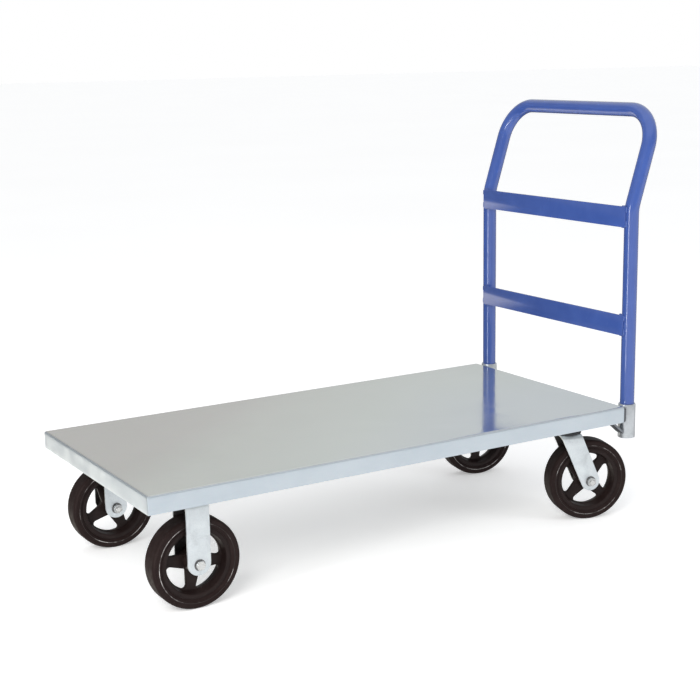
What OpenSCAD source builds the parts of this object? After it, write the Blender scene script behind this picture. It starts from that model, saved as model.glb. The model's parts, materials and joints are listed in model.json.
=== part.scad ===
// Flatbed platform truck: a folded sheet-steel deck on two rigid and two
// swivel casters, with a lift-out tube handle at the swivel end.
// Millimetres, +Z up, +X towards the handle, floor at z = 0.

/* [Deck] */
// Length of the deck
deck_l = 1270; // [1100:10:1500]
// Width of the deck
deck_w = 610; // [560:10:760]
// Height of the deck's top face above the floor
deck_h = 286; // [282:1:296]
// Depth of the folded skirt
skirt_h = 41; // [34:1:48]
// Thickness of the deck sheet
sheet_t = 2.7; // [2:0.1:4]
// Outside radius of the folded edges
bend_r = 5; // [4.2:0.2:8]
// Width of each cross channel under the deck
channel_w = 130; // [124:2:160]
// Thickness of the cross channels
channel_t = 3; // [2:0.5:5]

/* [Handle] */
// Outside diameter of the handle tube
tube_d = 34.93; // [30:0.01:34.93]
// Wall of the handle tube
tube_t = 2.1; // [1.5:0.1:3]
// Distance between the centres of the two posts
post_gap = 567; // [500:1:567]
// Height of the corner where the posts lean back
kink_z = 772; // [740:1:820]
// Lean of the upper part of the handle, in degrees
lean = 18; // [8:1:25]
// Length of the leaning part, along its slope, to the middle of the top bar
lean_l = 242.3; // [210:0.1:300]
// Centreline radius of the two top corners
corner_r = 90; // [60:1:110]
// Centreline radius where the posts lean back
kink_r = 100; // [60:1:140]
// Height of the flat cross braces
brace_h = 50.8; // [38:0.2:60]
// Thickness of the flat cross braces
brace_t = 4.8; // [3:0.1:6]
// Middle of the lower brace above the floor
brace1_z = 485; // [420:1:560]
// Middle of the upper brace above the floor
brace2_z = 751.5; // [640:0.5:790]

/* [Handle sockets] */
// Outside diameter of the socket pipe
socket_d = 42.16; // [42:0.02:46]
// Bore of the socket pipe
socket_bore = 35.05; // [35.01:0.01:35.13]
// Lower end of the socket above the floor
socket_z0 = 201; // [190:1:215]
// Thickness of the pad between the skirt and the socket
pad_t = 6.4; // [3:0.1:10]

/* [Wheels] */
// Diameter of the wheels
wheel_d = 203.2; // [190:0.2:203.2]
// Width of the tyre tread
tyre_w = 50.8; // [40:0.2:50.8]
// Radius where the rubber is bonded to the iron rim
rim_r = 80; // [76:0.5:84]
// Outer radius of the windows between the spokes
window_r = 64; // [58:0.5:66]
// Width of each spoke where it meets the rim
spoke_w = 21; // [18:1:32]
// Width of each spoke where it leaves the hub
spoke_root_w = 35; // [33:1:42]
// Thickness of the spokes
web_t = 9; // [8:1:20]
// Radius of the hub
hub_r = 22; // [20:0.5:26]
// Length of the hub
hub_l = 57.2; // [54:0.2:57.6]

/* [Casters] */
// Thickness of the fork plate
fork_t = 5; // [4:0.2:6]
// Gap between the fork legs
fork_gap = 60.4; // [60.2:0.2:64]
// Width of the fork legs
leg_w = 54; // [48:1:58]
// Distance of the swivel axis ahead of the wheel's axle
trail = 51; // [44:1:56]
// Distance from the deck's end to the rigid wheels' axle
rigid_inset = 128; // [120:1:200]
// Distance from the deck's end to the swivel axis
swivel_inset = 119; // [118:1:200]
// Distance of the casters from the deck's centreline
caster_y = 228.6; // [200:0.2:230]
// Height of the top of the caster plates
plate_z = 254; // [252:0.5:256]
// Thickness of the caster plates
plate_t = 6.35; // [5:0.05:7]
// Angle that the left swivel caster stands at
left_swivel_a = -17.5; // [-180:0.5:180]
// Angle that the right swivel caster stands at
right_swivel_a = -10.5; // [-180:0.5:180]

/* [Hidden] */
$fn = 64;

zinc = [0.80, 0.83, 0.84];
deck_grey = [0.74, 0.76, 0.76];
blue = [0.22, 0.31, 0.66];
iron = [0.16, 0.13, 0.13];
rubber = [0.11, 0.10, 0.10];

// Sockets stand on pads welded to the end skirt.
socket_r = socket_d / 2;
post_x = deck_l / 2 + pad_t + 0.05 + socket_r;
post_y = post_gap / 2;
tube_r = tube_d / 2;
stop_t = 4;
post_z0 = socket_z0 + stop_t + 0.3;
socket_z1 = deck_h + 0.8;

// Top bar of the handle
bar_x = post_x + lean_l * sin(lean);
bar_z = kink_z + lean_l * cos(lean);

// The frame's origin is under the middle of the whole truck's box.
shift_x = -(bar_x + tube_r - deck_l / 2) / 2;

// Casters
axle_z = wheel_d / 2;
plate_z0 = plate_z - plate_t;
rigid_x = -deck_l / 2 + rigid_inset;
swivel_x = deck_l / 2 - swivel_inset;
fork_y = fork_gap / 2 + fork_t;
axle_r = 6.35;
leg_bore_r = 6.55;
bolt_dx = 92.1 / 2;
bolt_dy = 66.7 / 2;
crown_z = 223.5;
ball_r = 4.76;
ball_ring_r = 27;
ball_z = crown_z + 6.8;

module place() { translate([shift_x, 0, 0]) children(); }

// ---------- deck ----------
// Section of the pan across one direction, with rounded top corners
module pan_section(w, z0, z1, r) {
  union() {
    translate([-w / 2, z0]) square([w, z1 - z0 - r]);
    translate([-w / 2 + r, z1 - r - 0.01]) square([w - 2 * r, r + 0.01]);
    for (s = [-1, 1]) translate([s * (w / 2 - r), z1 - r]) circle(r);
  }
}
module pan_block(l, w, z0, z1, r) {
  intersection() {
    rotate([90, 0, 90]) translate([0, 0, -l / 2]) linear_extrude(l) pan_section(w, z0, z1, r);
    rotate([90, 0, 0]) translate([0, 0, -w / 2]) linear_extrude(w) pan_section(l, z0, z1, r);
  }
}
module deck_pan() {
  color(deck_grey) place() difference() {
    pan_block(deck_l, deck_w, deck_h - skirt_h, deck_h, bend_r);
    pan_block(deck_l - 2 * sheet_t, deck_w - 2 * sheet_t, deck_h - skirt_h - 10, deck_h - sheet_t, bend_r - sheet_t);
  }
}
// Hat channel across the deck, open upwards with its two lips against the deck
module cross_channel(x, w, z0) {
  len = deck_w - 2 * bend_r - 0.4;
  z1 = deck_h - sheet_t;
  translate([x, 0, 0]) difference() {
    union() {
      translate([-w / 2, -len / 2, z0]) cube([w, len, z1 - z0]);
      translate([-w / 2 - 18, -len / 2, z1 - channel_t]) cube([w + 36, len, channel_t]);
    }
    translate([-w / 2 + channel_t, -len / 2 - 1, z0 + channel_t]) cube([w - 2 * channel_t, len + 2, z1 - z0]);
  }
}
module bolt_grid(x, y) {
  for (sx = [-1, 1], sy = [-1, 1]) translate([x + sx * bolt_dx, y + sy * bolt_dy, 0]) children();
}
module both_sides() { for (s = [-1, 1]) translate([0, s * caster_y, 0]) children(); }
module caster_channel(x) {
  difference() {
    cross_channel(x, channel_w, plate_z);
    both_sides() bolt_grid(x, 0) translate([0, 0, plate_z - 1]) cylinder(r = 5.25, h = channel_t + 2);
  }
}
module rigid_end_channel() { color(deck_grey) place() caster_channel(rigid_x); }
module swivel_end_channel() { color(deck_grey) place() caster_channel(swivel_x); }
module mid_channel() { color(deck_grey) place() cross_channel(0, 76, deck_h - sheet_t - 26); }

// ---------- handle sockets ----------
module socket_pads() {
  color(zinc) place() for (s = [-1, 1])
    translate([deck_l / 2, s * post_y - 20, deck_h - skirt_h + 0.5]) cube([pad_t, 40, skirt_h - bend_r - 1]);
}
module socket(s) {
  color(zinc) place() translate([post_x, s * post_y, 0]) difference() {
    translate([0, 0, socket_z0]) cylinder(r = socket_r, h = socket_z1 - socket_z0);
    translate([0, 0, socket_z0 - 1]) cylinder(r = socket_bore / 2, h = socket_z1 - socket_z0 + 2);
  }
}
module left_socket() { socket(-1); }
module right_socket() { socket(1); }
// A ring welded in the foot of each socket, which the tube stands on
module socket_stops() {
  color(zinc) place() for (s = [-1, 1]) translate([post_x, s * post_y, socket_z0]) difference() {
    cylinder(r = socket_bore / 2 - 0.02, h = stop_t);
    translate([0, 0, -1]) cylinder(r = 11, h = stop_t + 2);
  }
}
// Sloping flat bars from the foot of each socket to the side of the swivel-end channel
gusset_w = 25;
gusset_t = 7;
gusset_rise = 0.85;
gusset_x1 = post_x - socket_r - 0.3;
gusset_z1 = socket_z0 + 13;
gusset_x0 = swivel_x + channel_w / 2 + 0.1;
gusset_z0 = gusset_z1 + (gusset_x1 - gusset_x0) * gusset_rise;
module socket_gussets() {
  color(zinc) place() for (s = [-1, 1]) translate([0, s * post_y + gusset_w / 2, 0]) rotate([90, 0, 0])
    linear_extrude(gusset_w) polygon([[gusset_x1, gusset_z1], [gusset_x1, gusset_z1 + gusset_t], [gusset_x0, gusset_z0 + gusset_t], [gusset_x0, gusset_z0]]);
}

// ---------- handle ----------
kink_l = kink_r * tan(lean / 2);
// The bends are drawn a tenth of a millimetre slimmer and the straight runs lap onto them, as bending thins the tube
lap = 1;
step = 0.1;
module leaning() { translate([post_x, 0, kink_z]) rotate([0, lean, 0]) children(); }
module tube_run(r, foot) {
  union() {
    for (s = [-1, 1]) {
      translate([post_x, s * post_y, foot]) cylinder(r = r, h = kink_z - kink_l - foot + lap);
      translate([post_x + kink_r, s * post_y, kink_z - kink_l]) rotate([-90, 0, 0])
        rotate_extrude(angle = lean, start = 180) translate([kink_r, 0]) circle(r - step);
      leaning() {
        translate([0, s * post_y, kink_l - lap]) cylinder(r = r, h = lean_l - corner_r - kink_l + 2 * lap);
        translate([0, s * (post_y - corner_r), lean_l - corner_r]) rotate([90, 0, 90])
          rotate_extrude(angle = 90, start = s > 0 ? 0 : 90) translate([corner_r, 0]) circle(r - step);
      }
    }
    leaning() translate([0, -(post_y - corner_r) - lap, lean_l]) rotate([-90, 0, 0]) cylinder(r = r, h = 2 * (post_y - corner_r + lap));
  }
}
module handle_hoop() {
  color(blue) place() difference() {
    tube_run(tube_r, post_z0);
    tube_run(tube_r - tube_t, post_z0 - 1);
  }
}
module brace(z) {
  color(blue) place() translate([post_x - tube_r - brace_t, -post_y, z - brace_h / 2]) cube([brace_t, post_gap, brace_h]);
}
module lower_brace() { brace(brace1_z); }
module upper_brace() { brace(brace2_z); }

// ---------- caster mounting ----------
module all_mounts() {
  both_sides() { bolt_grid(rigid_x, 0) children(); bolt_grid(swivel_x, 0) children(); }
}
bolt_z0 = plate_z0 - 12;
module caster_bolts() {
  color(zinc) place() all_mounts() {
    translate([0, 0, bolt_z0]) cylinder(r = 4.75, h = plate_z + channel_t - bolt_z0);
    translate([0, 0, plate_z + channel_t]) cylinder(r = 9.5, h = 1.6);
    translate([0, 0, plate_z + channel_t + 1.6]) cylinder(r1 = 9.5, r2 = 5, h = 3.4);
  }
}
module caster_lock_washers() {
  color(zinc) place() all_mounts() translate([0, 0, plate_z0 - 2.3]) difference() {
    cylinder(r = 8.4, h = 2.3);
    translate([0, 0, -1]) cylinder(r = 4.95, h = 5);
  }
}
module caster_nuts() {
  color(zinc) place() all_mounts() translate([0, 0, plate_z0 - 10.4]) difference() {
    cylinder(r = 8.25, h = 8.1, $fn = 6);
    translate([0, 0, -1]) cylinder(r = 4.78, h = 11);
  }
}
module top_plate() {
  difference() {
    translate([-57.15, -50.8, plate_z0]) cube([114.3, 101.6, plate_t]);
    bolt_grid(0, 0) translate([0, 0, plate_z0 - 1]) cylinder(r = 5.25, h = plate_t + 2);
    children();
  }
}
module rigid_top_plates() { color(zinc) place() both_sides() translate([rigid_x, 0, 0]) top_plate(); }

// ---------- rigid casters ----------
// Upside-down U section of a fork, seen along the direction of travel
module fork_section(top, r) {
  difference() {
    union() {
      translate([-fork_y, 60]) square([2 * fork_y, top - r - 60]);
      translate([-fork_y + r, top - r - 0.01]) square([2 * (fork_y - r), r + 0.01]);
      for (s = [-1, 1]) translate([s * (fork_y - r), top - r]) circle(r);
    }
    union() {
      translate([-fork_gap / 2, 50]) square([fork_gap, top - r - 50]);
      translate([-fork_y + r, top - r - 0.01]) square([2 * (fork_y - r), r - fork_t + 0.01]);
      for (s = [-1, 1]) translate([s * (fork_y - r), top - r]) circle(r - fork_t);
    }
  }
}
module along_x(len) { rotate([90, 0, 90]) translate([0, 0, -len / 2]) linear_extrude(len) children(); }
module along_y(len) { rotate([90, 0, 0]) translate([0, 0, -len / 2]) linear_extrude(len) children(); }
module rigid_yoke(s) {
  foot_z = axle_z + 3.4;
  color(zinc) place() translate([rigid_x, s * caster_y, 0]) difference() {
    intersection() {
      along_x(leg_w) fork_section(plate_z0, 24);
      along_y(3 * fork_y) union() {
        translate([0, foot_z]) circle(leg_w / 2);
        translate([-leg_w / 2, foot_z]) square([leg_w, plate_z0 - foot_z + 1]);
      }
    }
    translate([0, 0, axle_z]) rotate([90, 0, 0]) translate([0, 0, -60]) cylinder(r = leg_bore_r, h = 120);
  }
}
module left_rigid_yoke() { rigid_yoke(-1); }
module right_rigid_yoke() { rigid_yoke(1); }

// Axle parts, drawn about the wheel's centre with the bolt's head towards -Y
module axle_bolt() {
  rotate([90, 0, 0]) {
    translate([0, 0, fork_y]) rotate([0, 0, 30]) cylinder(r = 11, h = 8, $fn = 6);
    translate([0, 0, -fork_y - 14]) cylinder(r = axle_r, h = 2 * fork_y + 14);
  }
}
module axle_nut() {
  rotate([-90, 0, 0]) translate([0, 0, fork_y]) difference() {
    cylinder(r = 11, h = 10.9, $fn = 6);
    translate([0, 0, -1]) cylinder(r = axle_r + 0.03, h = 13);
  }
}
module axle_sleeve() {
  rotate([90, 0, 0]) difference() {
    translate([0, 0, -fork_gap / 2 + 0.1]) cylinder(r = 9.525, h = fork_gap - 0.2);
    translate([0, 0, -fork_gap]) cylinder(r = axle_r + 0.1, h = 2 * fork_gap);
  }
}
module thrust_washers() {
  for (s = [-1, 1]) translate([0, s * (fork_gap / 2 - 0.7), 0]) rotate([90, 0, 0]) difference() {
    translate([0, 0, -0.5]) cylinder(r = 17, h = 1);
    translate([0, 0, -2]) cylinder(r = 9.7, h = 4);
  }
}
module rigid_pair() { for (s = [-1, 1]) translate([rigid_x, s * caster_y, axle_z]) rotate([0, 0, s < 0 ? 0 : 180]) children(); }
module rigid_axle_bolts() { color(zinc) place() rigid_pair() axle_bolt(); }
module rigid_axle_nuts() { color(zinc) place() rigid_pair() axle_nut(); }
module rigid_axle_sleeves() { color(zinc) place() rigid_pair() axle_sleeve(); }
module rigid_thrust_washers() { color(zinc) place() rigid_pair() thrust_washers(); }

// ---------- wheels, about their own centre, spinning about Y ----------
function arc_pts(c, r, a0, a1, n) = [for (i = [0 : n]) c + r * [cos(a0 + (a1 - a0) * i / n), sin(a0 + (a1 - a0) * i / n)]];
// Outline of the window between the spokes at 0 and 90 degrees: a rounded tip by the hub, two rounded outer corners
tip_r = 5;
fillet = 7;
edge_d = let (v = [window_r - 2 - spoke_root_w / 2, (spoke_w - spoke_root_w) / 2]) v / norm(v);
edge_n = [-edge_d[1], edge_d[0]];
function inside_edge(f) = [spoke_root_w / 2, spoke_root_w / 2] + f * edge_n;
tip_e = inside_edge(tip_r);
tip_c = tip_e + edge_d * (tip_e[1] - tip_e[0]) / (edge_d[0] - edge_d[1]);
out_e = inside_edge(fillet);
out_b = out_e * edge_d;
out_c = out_e + edge_d * (sqrt(out_b * out_b - out_e * out_e + pow(window_r - fillet, 2)) - out_b);
a_edge = atan2(-edge_n[1], -edge_n[0]);
a_out = atan2(out_c[1], out_c[0]);
a_step = (90 - 2 * a_out) / 10;
window_tip = norm(tip_c) - tip_r;
window = concat(
  arc_pts(out_c, fillet, a_edge, a_out, 5),
  arc_pts([0, 0], window_r, a_out + a_step, 90 - a_out - a_step, 8),
  arc_pts([out_c[1], out_c[0]], fillet, 90 - a_out, 90 - a_edge, 5),
  arc_pts(tip_c, tip_r, 90 - a_edge, 360 + a_edge, 5));
module wheel_core() {
  rotate([90, 0, 0]) difference() {
    union() {
      cylinder(r = hub_r, h = hub_l, center = true);
      translate([0, 0, -web_t / 2]) linear_extrude(web_t) difference() {
        circle(window_r + 4);
        for (a = [0 : 90 : 270]) rotate(a) polygon(window);
      }
      rotate_extrude() polygon([[window_r + 2, -web_t / 2], [window_r + 6, -21], [rim_r, -21], [rim_r, 21], [window_r + 6, 21], [window_r + 2, web_t / 2]]);
    }
    cylinder(r = 15.1, h = 100, center = true);
    rotate([0, 0, 45]) rotate([0, 90, 0]) cylinder(r = 2.6, h = window_tip + 1);
  }
}
module tyre() {
  s = 6;
  h = tyre_w / 2;
  rotate([90, 0, 0]) rotate_extrude() difference() {
    union() {
      translate([rim_r, -h + 1.5]) square([axle_z - rim_r - s, tyre_w - 3]);
      translate([axle_z - s - 0.01, -h + s]) square([s + 0.01, tyre_w - 2 * s]);
      for (k = [-1, 1]) translate([axle_z - s, k * (h - s)]) circle(s);
      translate([rim_r + 7, -h]) square([axle_z - rim_r - s - 7, tyre_w]);
    }
    translate([rim_r - 10, -h - 1]) square([10, tyre_w + 2]);
  }
}
module roller_bearing() {
  rotate([90, 0, 0]) {
    for (i = [0 : 9]) rotate(36 * i) translate([12.3, 0, -21]) cylinder(r = 2.68, h = 42, $fn = 24);
    for (k = [-1, 1]) translate([0, 0, k * 23.5 - 2.2]) difference() {
      cylinder(r = 14.9, h = 4.4);
      translate([0, 0, -1]) cylinder(r = 9.8, h = 7);
    }
  }
}
module grease_nipple() {
  rotate([90, 0, 0]) rotate([0, 0, 45]) rotate([0, 90, 0]) {
    translate([0, 0, 17]) cylinder(r = 2.5, h = window_tip + 2.4 - 17);
    translate([0, 0, window_tip + 2.4]) cylinder(r = 4.1, h = 3.2, $fn = 6);
    translate([0, 0, window_tip + 5.6]) cylinder(r = 2.2, h = 2.2);
    translate([0, 0, window_tip + 9.0]) sphere(2.6, $fn = 24);
  }
}
// Turn of each wheel about its own axle
left_rigid_turn = 8.5;
right_rigid_turn = -25;
left_swivel_turn = -45;
right_swivel_turn = 0;
module on_left_rigid() { color(iron) place() translate([rigid_x, -caster_y, axle_z]) rotate([0, left_rigid_turn, 0]) children(); }
module on_right_rigid() { color(iron) place() translate([rigid_x, caster_y, axle_z]) rotate([0, right_rigid_turn, 0]) children(); }
module left_rigid_core() { on_left_rigid() wheel_core(); }
module left_rigid_tyre() { on_left_rigid() color(rubber) tyre(); }
module left_rigid_bearing() { on_left_rigid() roller_bearing(); }
module left_rigid_grease_nipple() { on_left_rigid() grease_nipple(); }
module right_rigid_core() { on_right_rigid() wheel_core(); }
module right_rigid_tyre() { on_right_rigid() color(rubber) tyre(); }
module right_rigid_bearing() { on_right_rigid() roller_bearing(); }
module right_rigid_grease_nipple() { on_right_rigid() grease_nipple(); }

// ---------- swivel casters ----------
module pivots() { place() both_sides() translate([swivel_x, 0, 0]) children(); }
module swivel_top_plates() {
  color(zinc) pivots() top_plate() {
    translate([0, 0, plate_z0 - 1]) cylinder(r = 8.05, h = plate_t + 2);
    translate([0, 0, plate_z - 3.2]) cylinder(r1 = 8.05, r2 = 12.6, h = 3.3);
  }
}
module race_groove() { rotate_extrude() translate([ball_ring_r, ball_z]) circle(ball_r + 0.3); }
module upper_races() {
  color(zinc) pivots() difference() {
    translate([0, 0, ball_z + 1.6]) cylinder(r = 37, h = plate_z0 - ball_z - 1.6);
    translate([0, 0, ball_z - 2]) cylinder(r = 19, h = 30);
    race_groove();
  }
}
module kingpins() {
  color(zinc) pivots() {
    translate([0, 0, 204]) cylinder(r = 7.94, h = plate_z - 3.2 - 204);
    translate([0, 0, plate_z - 3.2]) cylinder(r1 = 7.94, r2 = 12, h = 3);
  }
}
module king_washers() {
  color(zinc) pivots() difference() {
    translate([0, 0, crown_z - fork_t - 2.3]) cylinder(r = 16, h = 2);
    translate([0, 0, 200]) cylinder(r = 8.1, h = 50);
  }
}
module king_nuts() {
  color(zinc) pivots() difference() {
    translate([0, 0, crown_z - fork_t - 12.4]) cylinder(r = 13.7, h = 10, $fn = 6);
    translate([0, 0, 200]) cylinder(r = 7.97, h = 50);
  }
}
// Side outline of a swivel fork leg, u along the trail and z up
foot_r = 24;
top_u = leg_w / 2;
leg_top = 222;
// Tangent from an outer point to the round foot
function tangent(p, side) = let (d = [trail, axle_z] - p, l = norm(d), b = asin(foot_r / l), a = atan2(d[1], d[0]) + side * b)
  p + sqrt(l * l - foot_r * foot_r) * [cos(a), sin(a)];
module fork_outline() {
  pl = [-top_u - 0.5, leg_top];
  pr = [top_u, leg_top];
  union() {
    translate([trail, axle_z]) circle(foot_r);
    polygon([[-top_u - 0.5, crown_z + 1], pl, tangent(pl, -1), [trail, axle_z], tangent(pr, 1), pr, [top_u, crown_z + 1]]);
  }
}
module swivel_fork() {
  difference() {
    intersection() {
      translate([40, 0, 0]) along_x(180) fork_section(crown_z, 12);
      along_y(3 * fork_y) fork_outline();
    }
    translate([0, 0, 200]) cylinder(r = 8.02, h = 60);
    translate([trail, 0, axle_z]) rotate([90, 0, 0]) translate([0, 0, -60]) cylinder(r = leg_bore_r, h = 120);
  }
}
module lower_race() {
  difference() {
    translate([0, 0, crown_z]) cylinder(r = 36, h = ball_z - 1.6 - crown_z);
    translate([0, 0, 200]) cylinder(r = 19, h = 60);
    race_groove();
  }
}
module race_balls() {
  for (i = [0 : 15]) rotate(22.5 * i) translate([ball_ring_r, 0, ball_z - 0.28]) sphere(ball_r, $fn = 24);
}
module at_left_pivot() { color(zinc) place() translate([swivel_x, -caster_y, 0]) rotate([0, 0, left_swivel_a]) children(); }
module at_right_pivot() { color(zinc) place() translate([swivel_x, caster_y, 0]) rotate([0, 0, right_swivel_a]) children(); }
module on_axle() { translate([trail, 0, axle_z]) children(); }
module left_swivel_fork() { at_left_pivot() swivel_fork(); }
module left_lower_race() { at_left_pivot() lower_race(); }
module left_race_balls() { at_left_pivot() race_balls(); }
module left_swivel_axle_bolt() { at_left_pivot() on_axle() rotate([0, 0, 180]) axle_bolt(); }
module left_swivel_axle_nut() { at_left_pivot() on_axle() rotate([0, 0, 180]) axle_nut(); }
module left_swivel_axle_sleeve() { at_left_pivot() on_axle() axle_sleeve(); }
module left_swivel_thrust_washers() { at_left_pivot() on_axle() thrust_washers(); }
module on_left_swivel() { at_left_pivot() on_axle() rotate([0, left_swivel_turn, 0]) color(iron) children(); }
module left_swivel_core() { on_left_swivel() wheel_core(); }
module left_swivel_tyre() { on_left_swivel() color(rubber) tyre(); }
module left_swivel_bearing() { on_left_swivel() roller_bearing(); }
module left_swivel_grease_nipple() { on_left_swivel() grease_nipple(); }
module right_swivel_fork() { at_right_pivot() swivel_fork(); }
module right_lower_race() { at_right_pivot() lower_race(); }
module right_race_balls() { at_right_pivot() race_balls(); }
module right_swivel_axle_bolt() { at_right_pivot() on_axle() axle_bolt(); }
module right_swivel_axle_nut() { at_right_pivot() on_axle() axle_nut(); }
module right_swivel_axle_sleeve() { at_right_pivot() on_axle() axle_sleeve(); }
module right_swivel_thrust_washers() { at_right_pivot() on_axle() thrust_washers(); }
module on_right_swivel() { at_right_pivot() on_axle() rotate([0, right_swivel_turn, 0]) color(iron) children(); }
module right_swivel_core() { on_right_swivel() wheel_core(); }
module right_swivel_tyre() { on_right_swivel() color(rubber) tyre(); }
module right_swivel_bearing() { on_right_swivel() roller_bearing(); }
module right_swivel_grease_nipple() { on_right_swivel() grease_nipple(); }

deck_pan();
rigid_end_channel();
mid_channel();
swivel_end_channel();
socket_pads();
left_socket();
right_socket();
socket_stops();
socket_gussets();
handle_hoop();
lower_brace();
upper_brace();
caster_bolts();
caster_lock_washers();
caster_nuts();
rigid_top_plates();
left_rigid_yoke();
right_rigid_yoke();
rigid_axle_bolts();
rigid_axle_nuts();
rigid_axle_sleeves();
rigid_thrust_washers();
left_rigid_core();
left_rigid_tyre();
left_rigid_bearing();
left_rigid_grease_nipple();
right_rigid_core();
right_rigid_tyre();
right_rigid_bearing();
right_rigid_grease_nipple();
swivel_top_plates();
upper_races();
kingpins();
king_washers();
king_nuts();
left_swivel_fork();
left_lower_race();
left_race_balls();
left_swivel_axle_bolt();
left_swivel_axle_nut();
left_swivel_axle_sleeve();
left_swivel_thrust_washers();
left_swivel_core();
left_swivel_tyre();
left_swivel_bearing();
left_swivel_grease_nipple();
right_swivel_fork();
right_lower_race();
right_race_balls();
right_swivel_axle_bolt();
right_swivel_axle_nut();
right_swivel_axle_sleeve();
right_swivel_thrust_washers();
right_swivel_core();
right_swivel_tyre();
right_swivel_bearing();
right_swivel_grease_nipple();
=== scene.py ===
import json
import math

import bmesh
import bpy
from mathutils import Matrix, Vector, noise
from mathutils.geometry import tessellate_polygon


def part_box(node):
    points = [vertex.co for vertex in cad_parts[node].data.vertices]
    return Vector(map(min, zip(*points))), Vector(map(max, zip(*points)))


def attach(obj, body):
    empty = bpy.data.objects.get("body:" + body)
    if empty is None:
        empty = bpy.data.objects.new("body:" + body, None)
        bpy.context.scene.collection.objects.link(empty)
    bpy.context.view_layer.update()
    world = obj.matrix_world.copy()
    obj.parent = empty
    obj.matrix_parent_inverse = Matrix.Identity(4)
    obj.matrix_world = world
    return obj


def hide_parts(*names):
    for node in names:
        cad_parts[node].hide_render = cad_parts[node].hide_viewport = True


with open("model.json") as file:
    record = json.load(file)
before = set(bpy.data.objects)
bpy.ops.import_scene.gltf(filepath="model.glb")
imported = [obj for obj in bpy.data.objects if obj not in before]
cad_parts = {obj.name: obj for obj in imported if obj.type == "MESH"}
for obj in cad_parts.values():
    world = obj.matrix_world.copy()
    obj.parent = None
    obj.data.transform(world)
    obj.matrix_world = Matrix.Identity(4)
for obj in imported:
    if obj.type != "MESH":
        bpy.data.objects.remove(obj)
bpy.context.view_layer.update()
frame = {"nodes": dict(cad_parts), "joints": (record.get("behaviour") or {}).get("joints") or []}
scene = bpy.context.scene
scene.view_settings.view_transform = "Standard"
scene.view_settings.look = "None"
MM = 0.001
I4 = Matrix.Identity(4)


def mm(node):
    """Box of a CAD node in millimetres."""
    lo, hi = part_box(node)
    return lo * 1000, hi * 1000


# ------------------------------------------------------------------ camera
def camera():
    yaw, pitch, roll = math.radians(31.238), math.radians(11.979), math.radians(-0.973)
    f = Vector((math.sin(yaw) * math.cos(pitch), math.cos(yaw) * math.cos(pitch), -math.sin(pitch)))
    right = Vector((math.cos(yaw), -math.sin(yaw), 0))
    up = right.cross(f)
    c, s = math.cos(roll), math.sin(roll)
    r2, u2 = right * c + up * s, up * c - right * s
    cam = bpy.data.cameras.new("camera")
    cam.sensor_width = 36
    cam.lens = 1405.22 * 36 / 700
    cam.clip_end = 200
    ob = bpy.data.objects.new("camera", cam)
    ob.matrix_world = Matrix(((r2.x, u2.x, -f.x, -1.742335), (r2.y, u2.y, -f.y, -2.8257),
                              (r2.z, u2.z, -f.z, 1.15276), (0, 0, 0, 1)))
    scene.collection.objects.link(ob)
    scene.camera = ob


camera()


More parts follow.
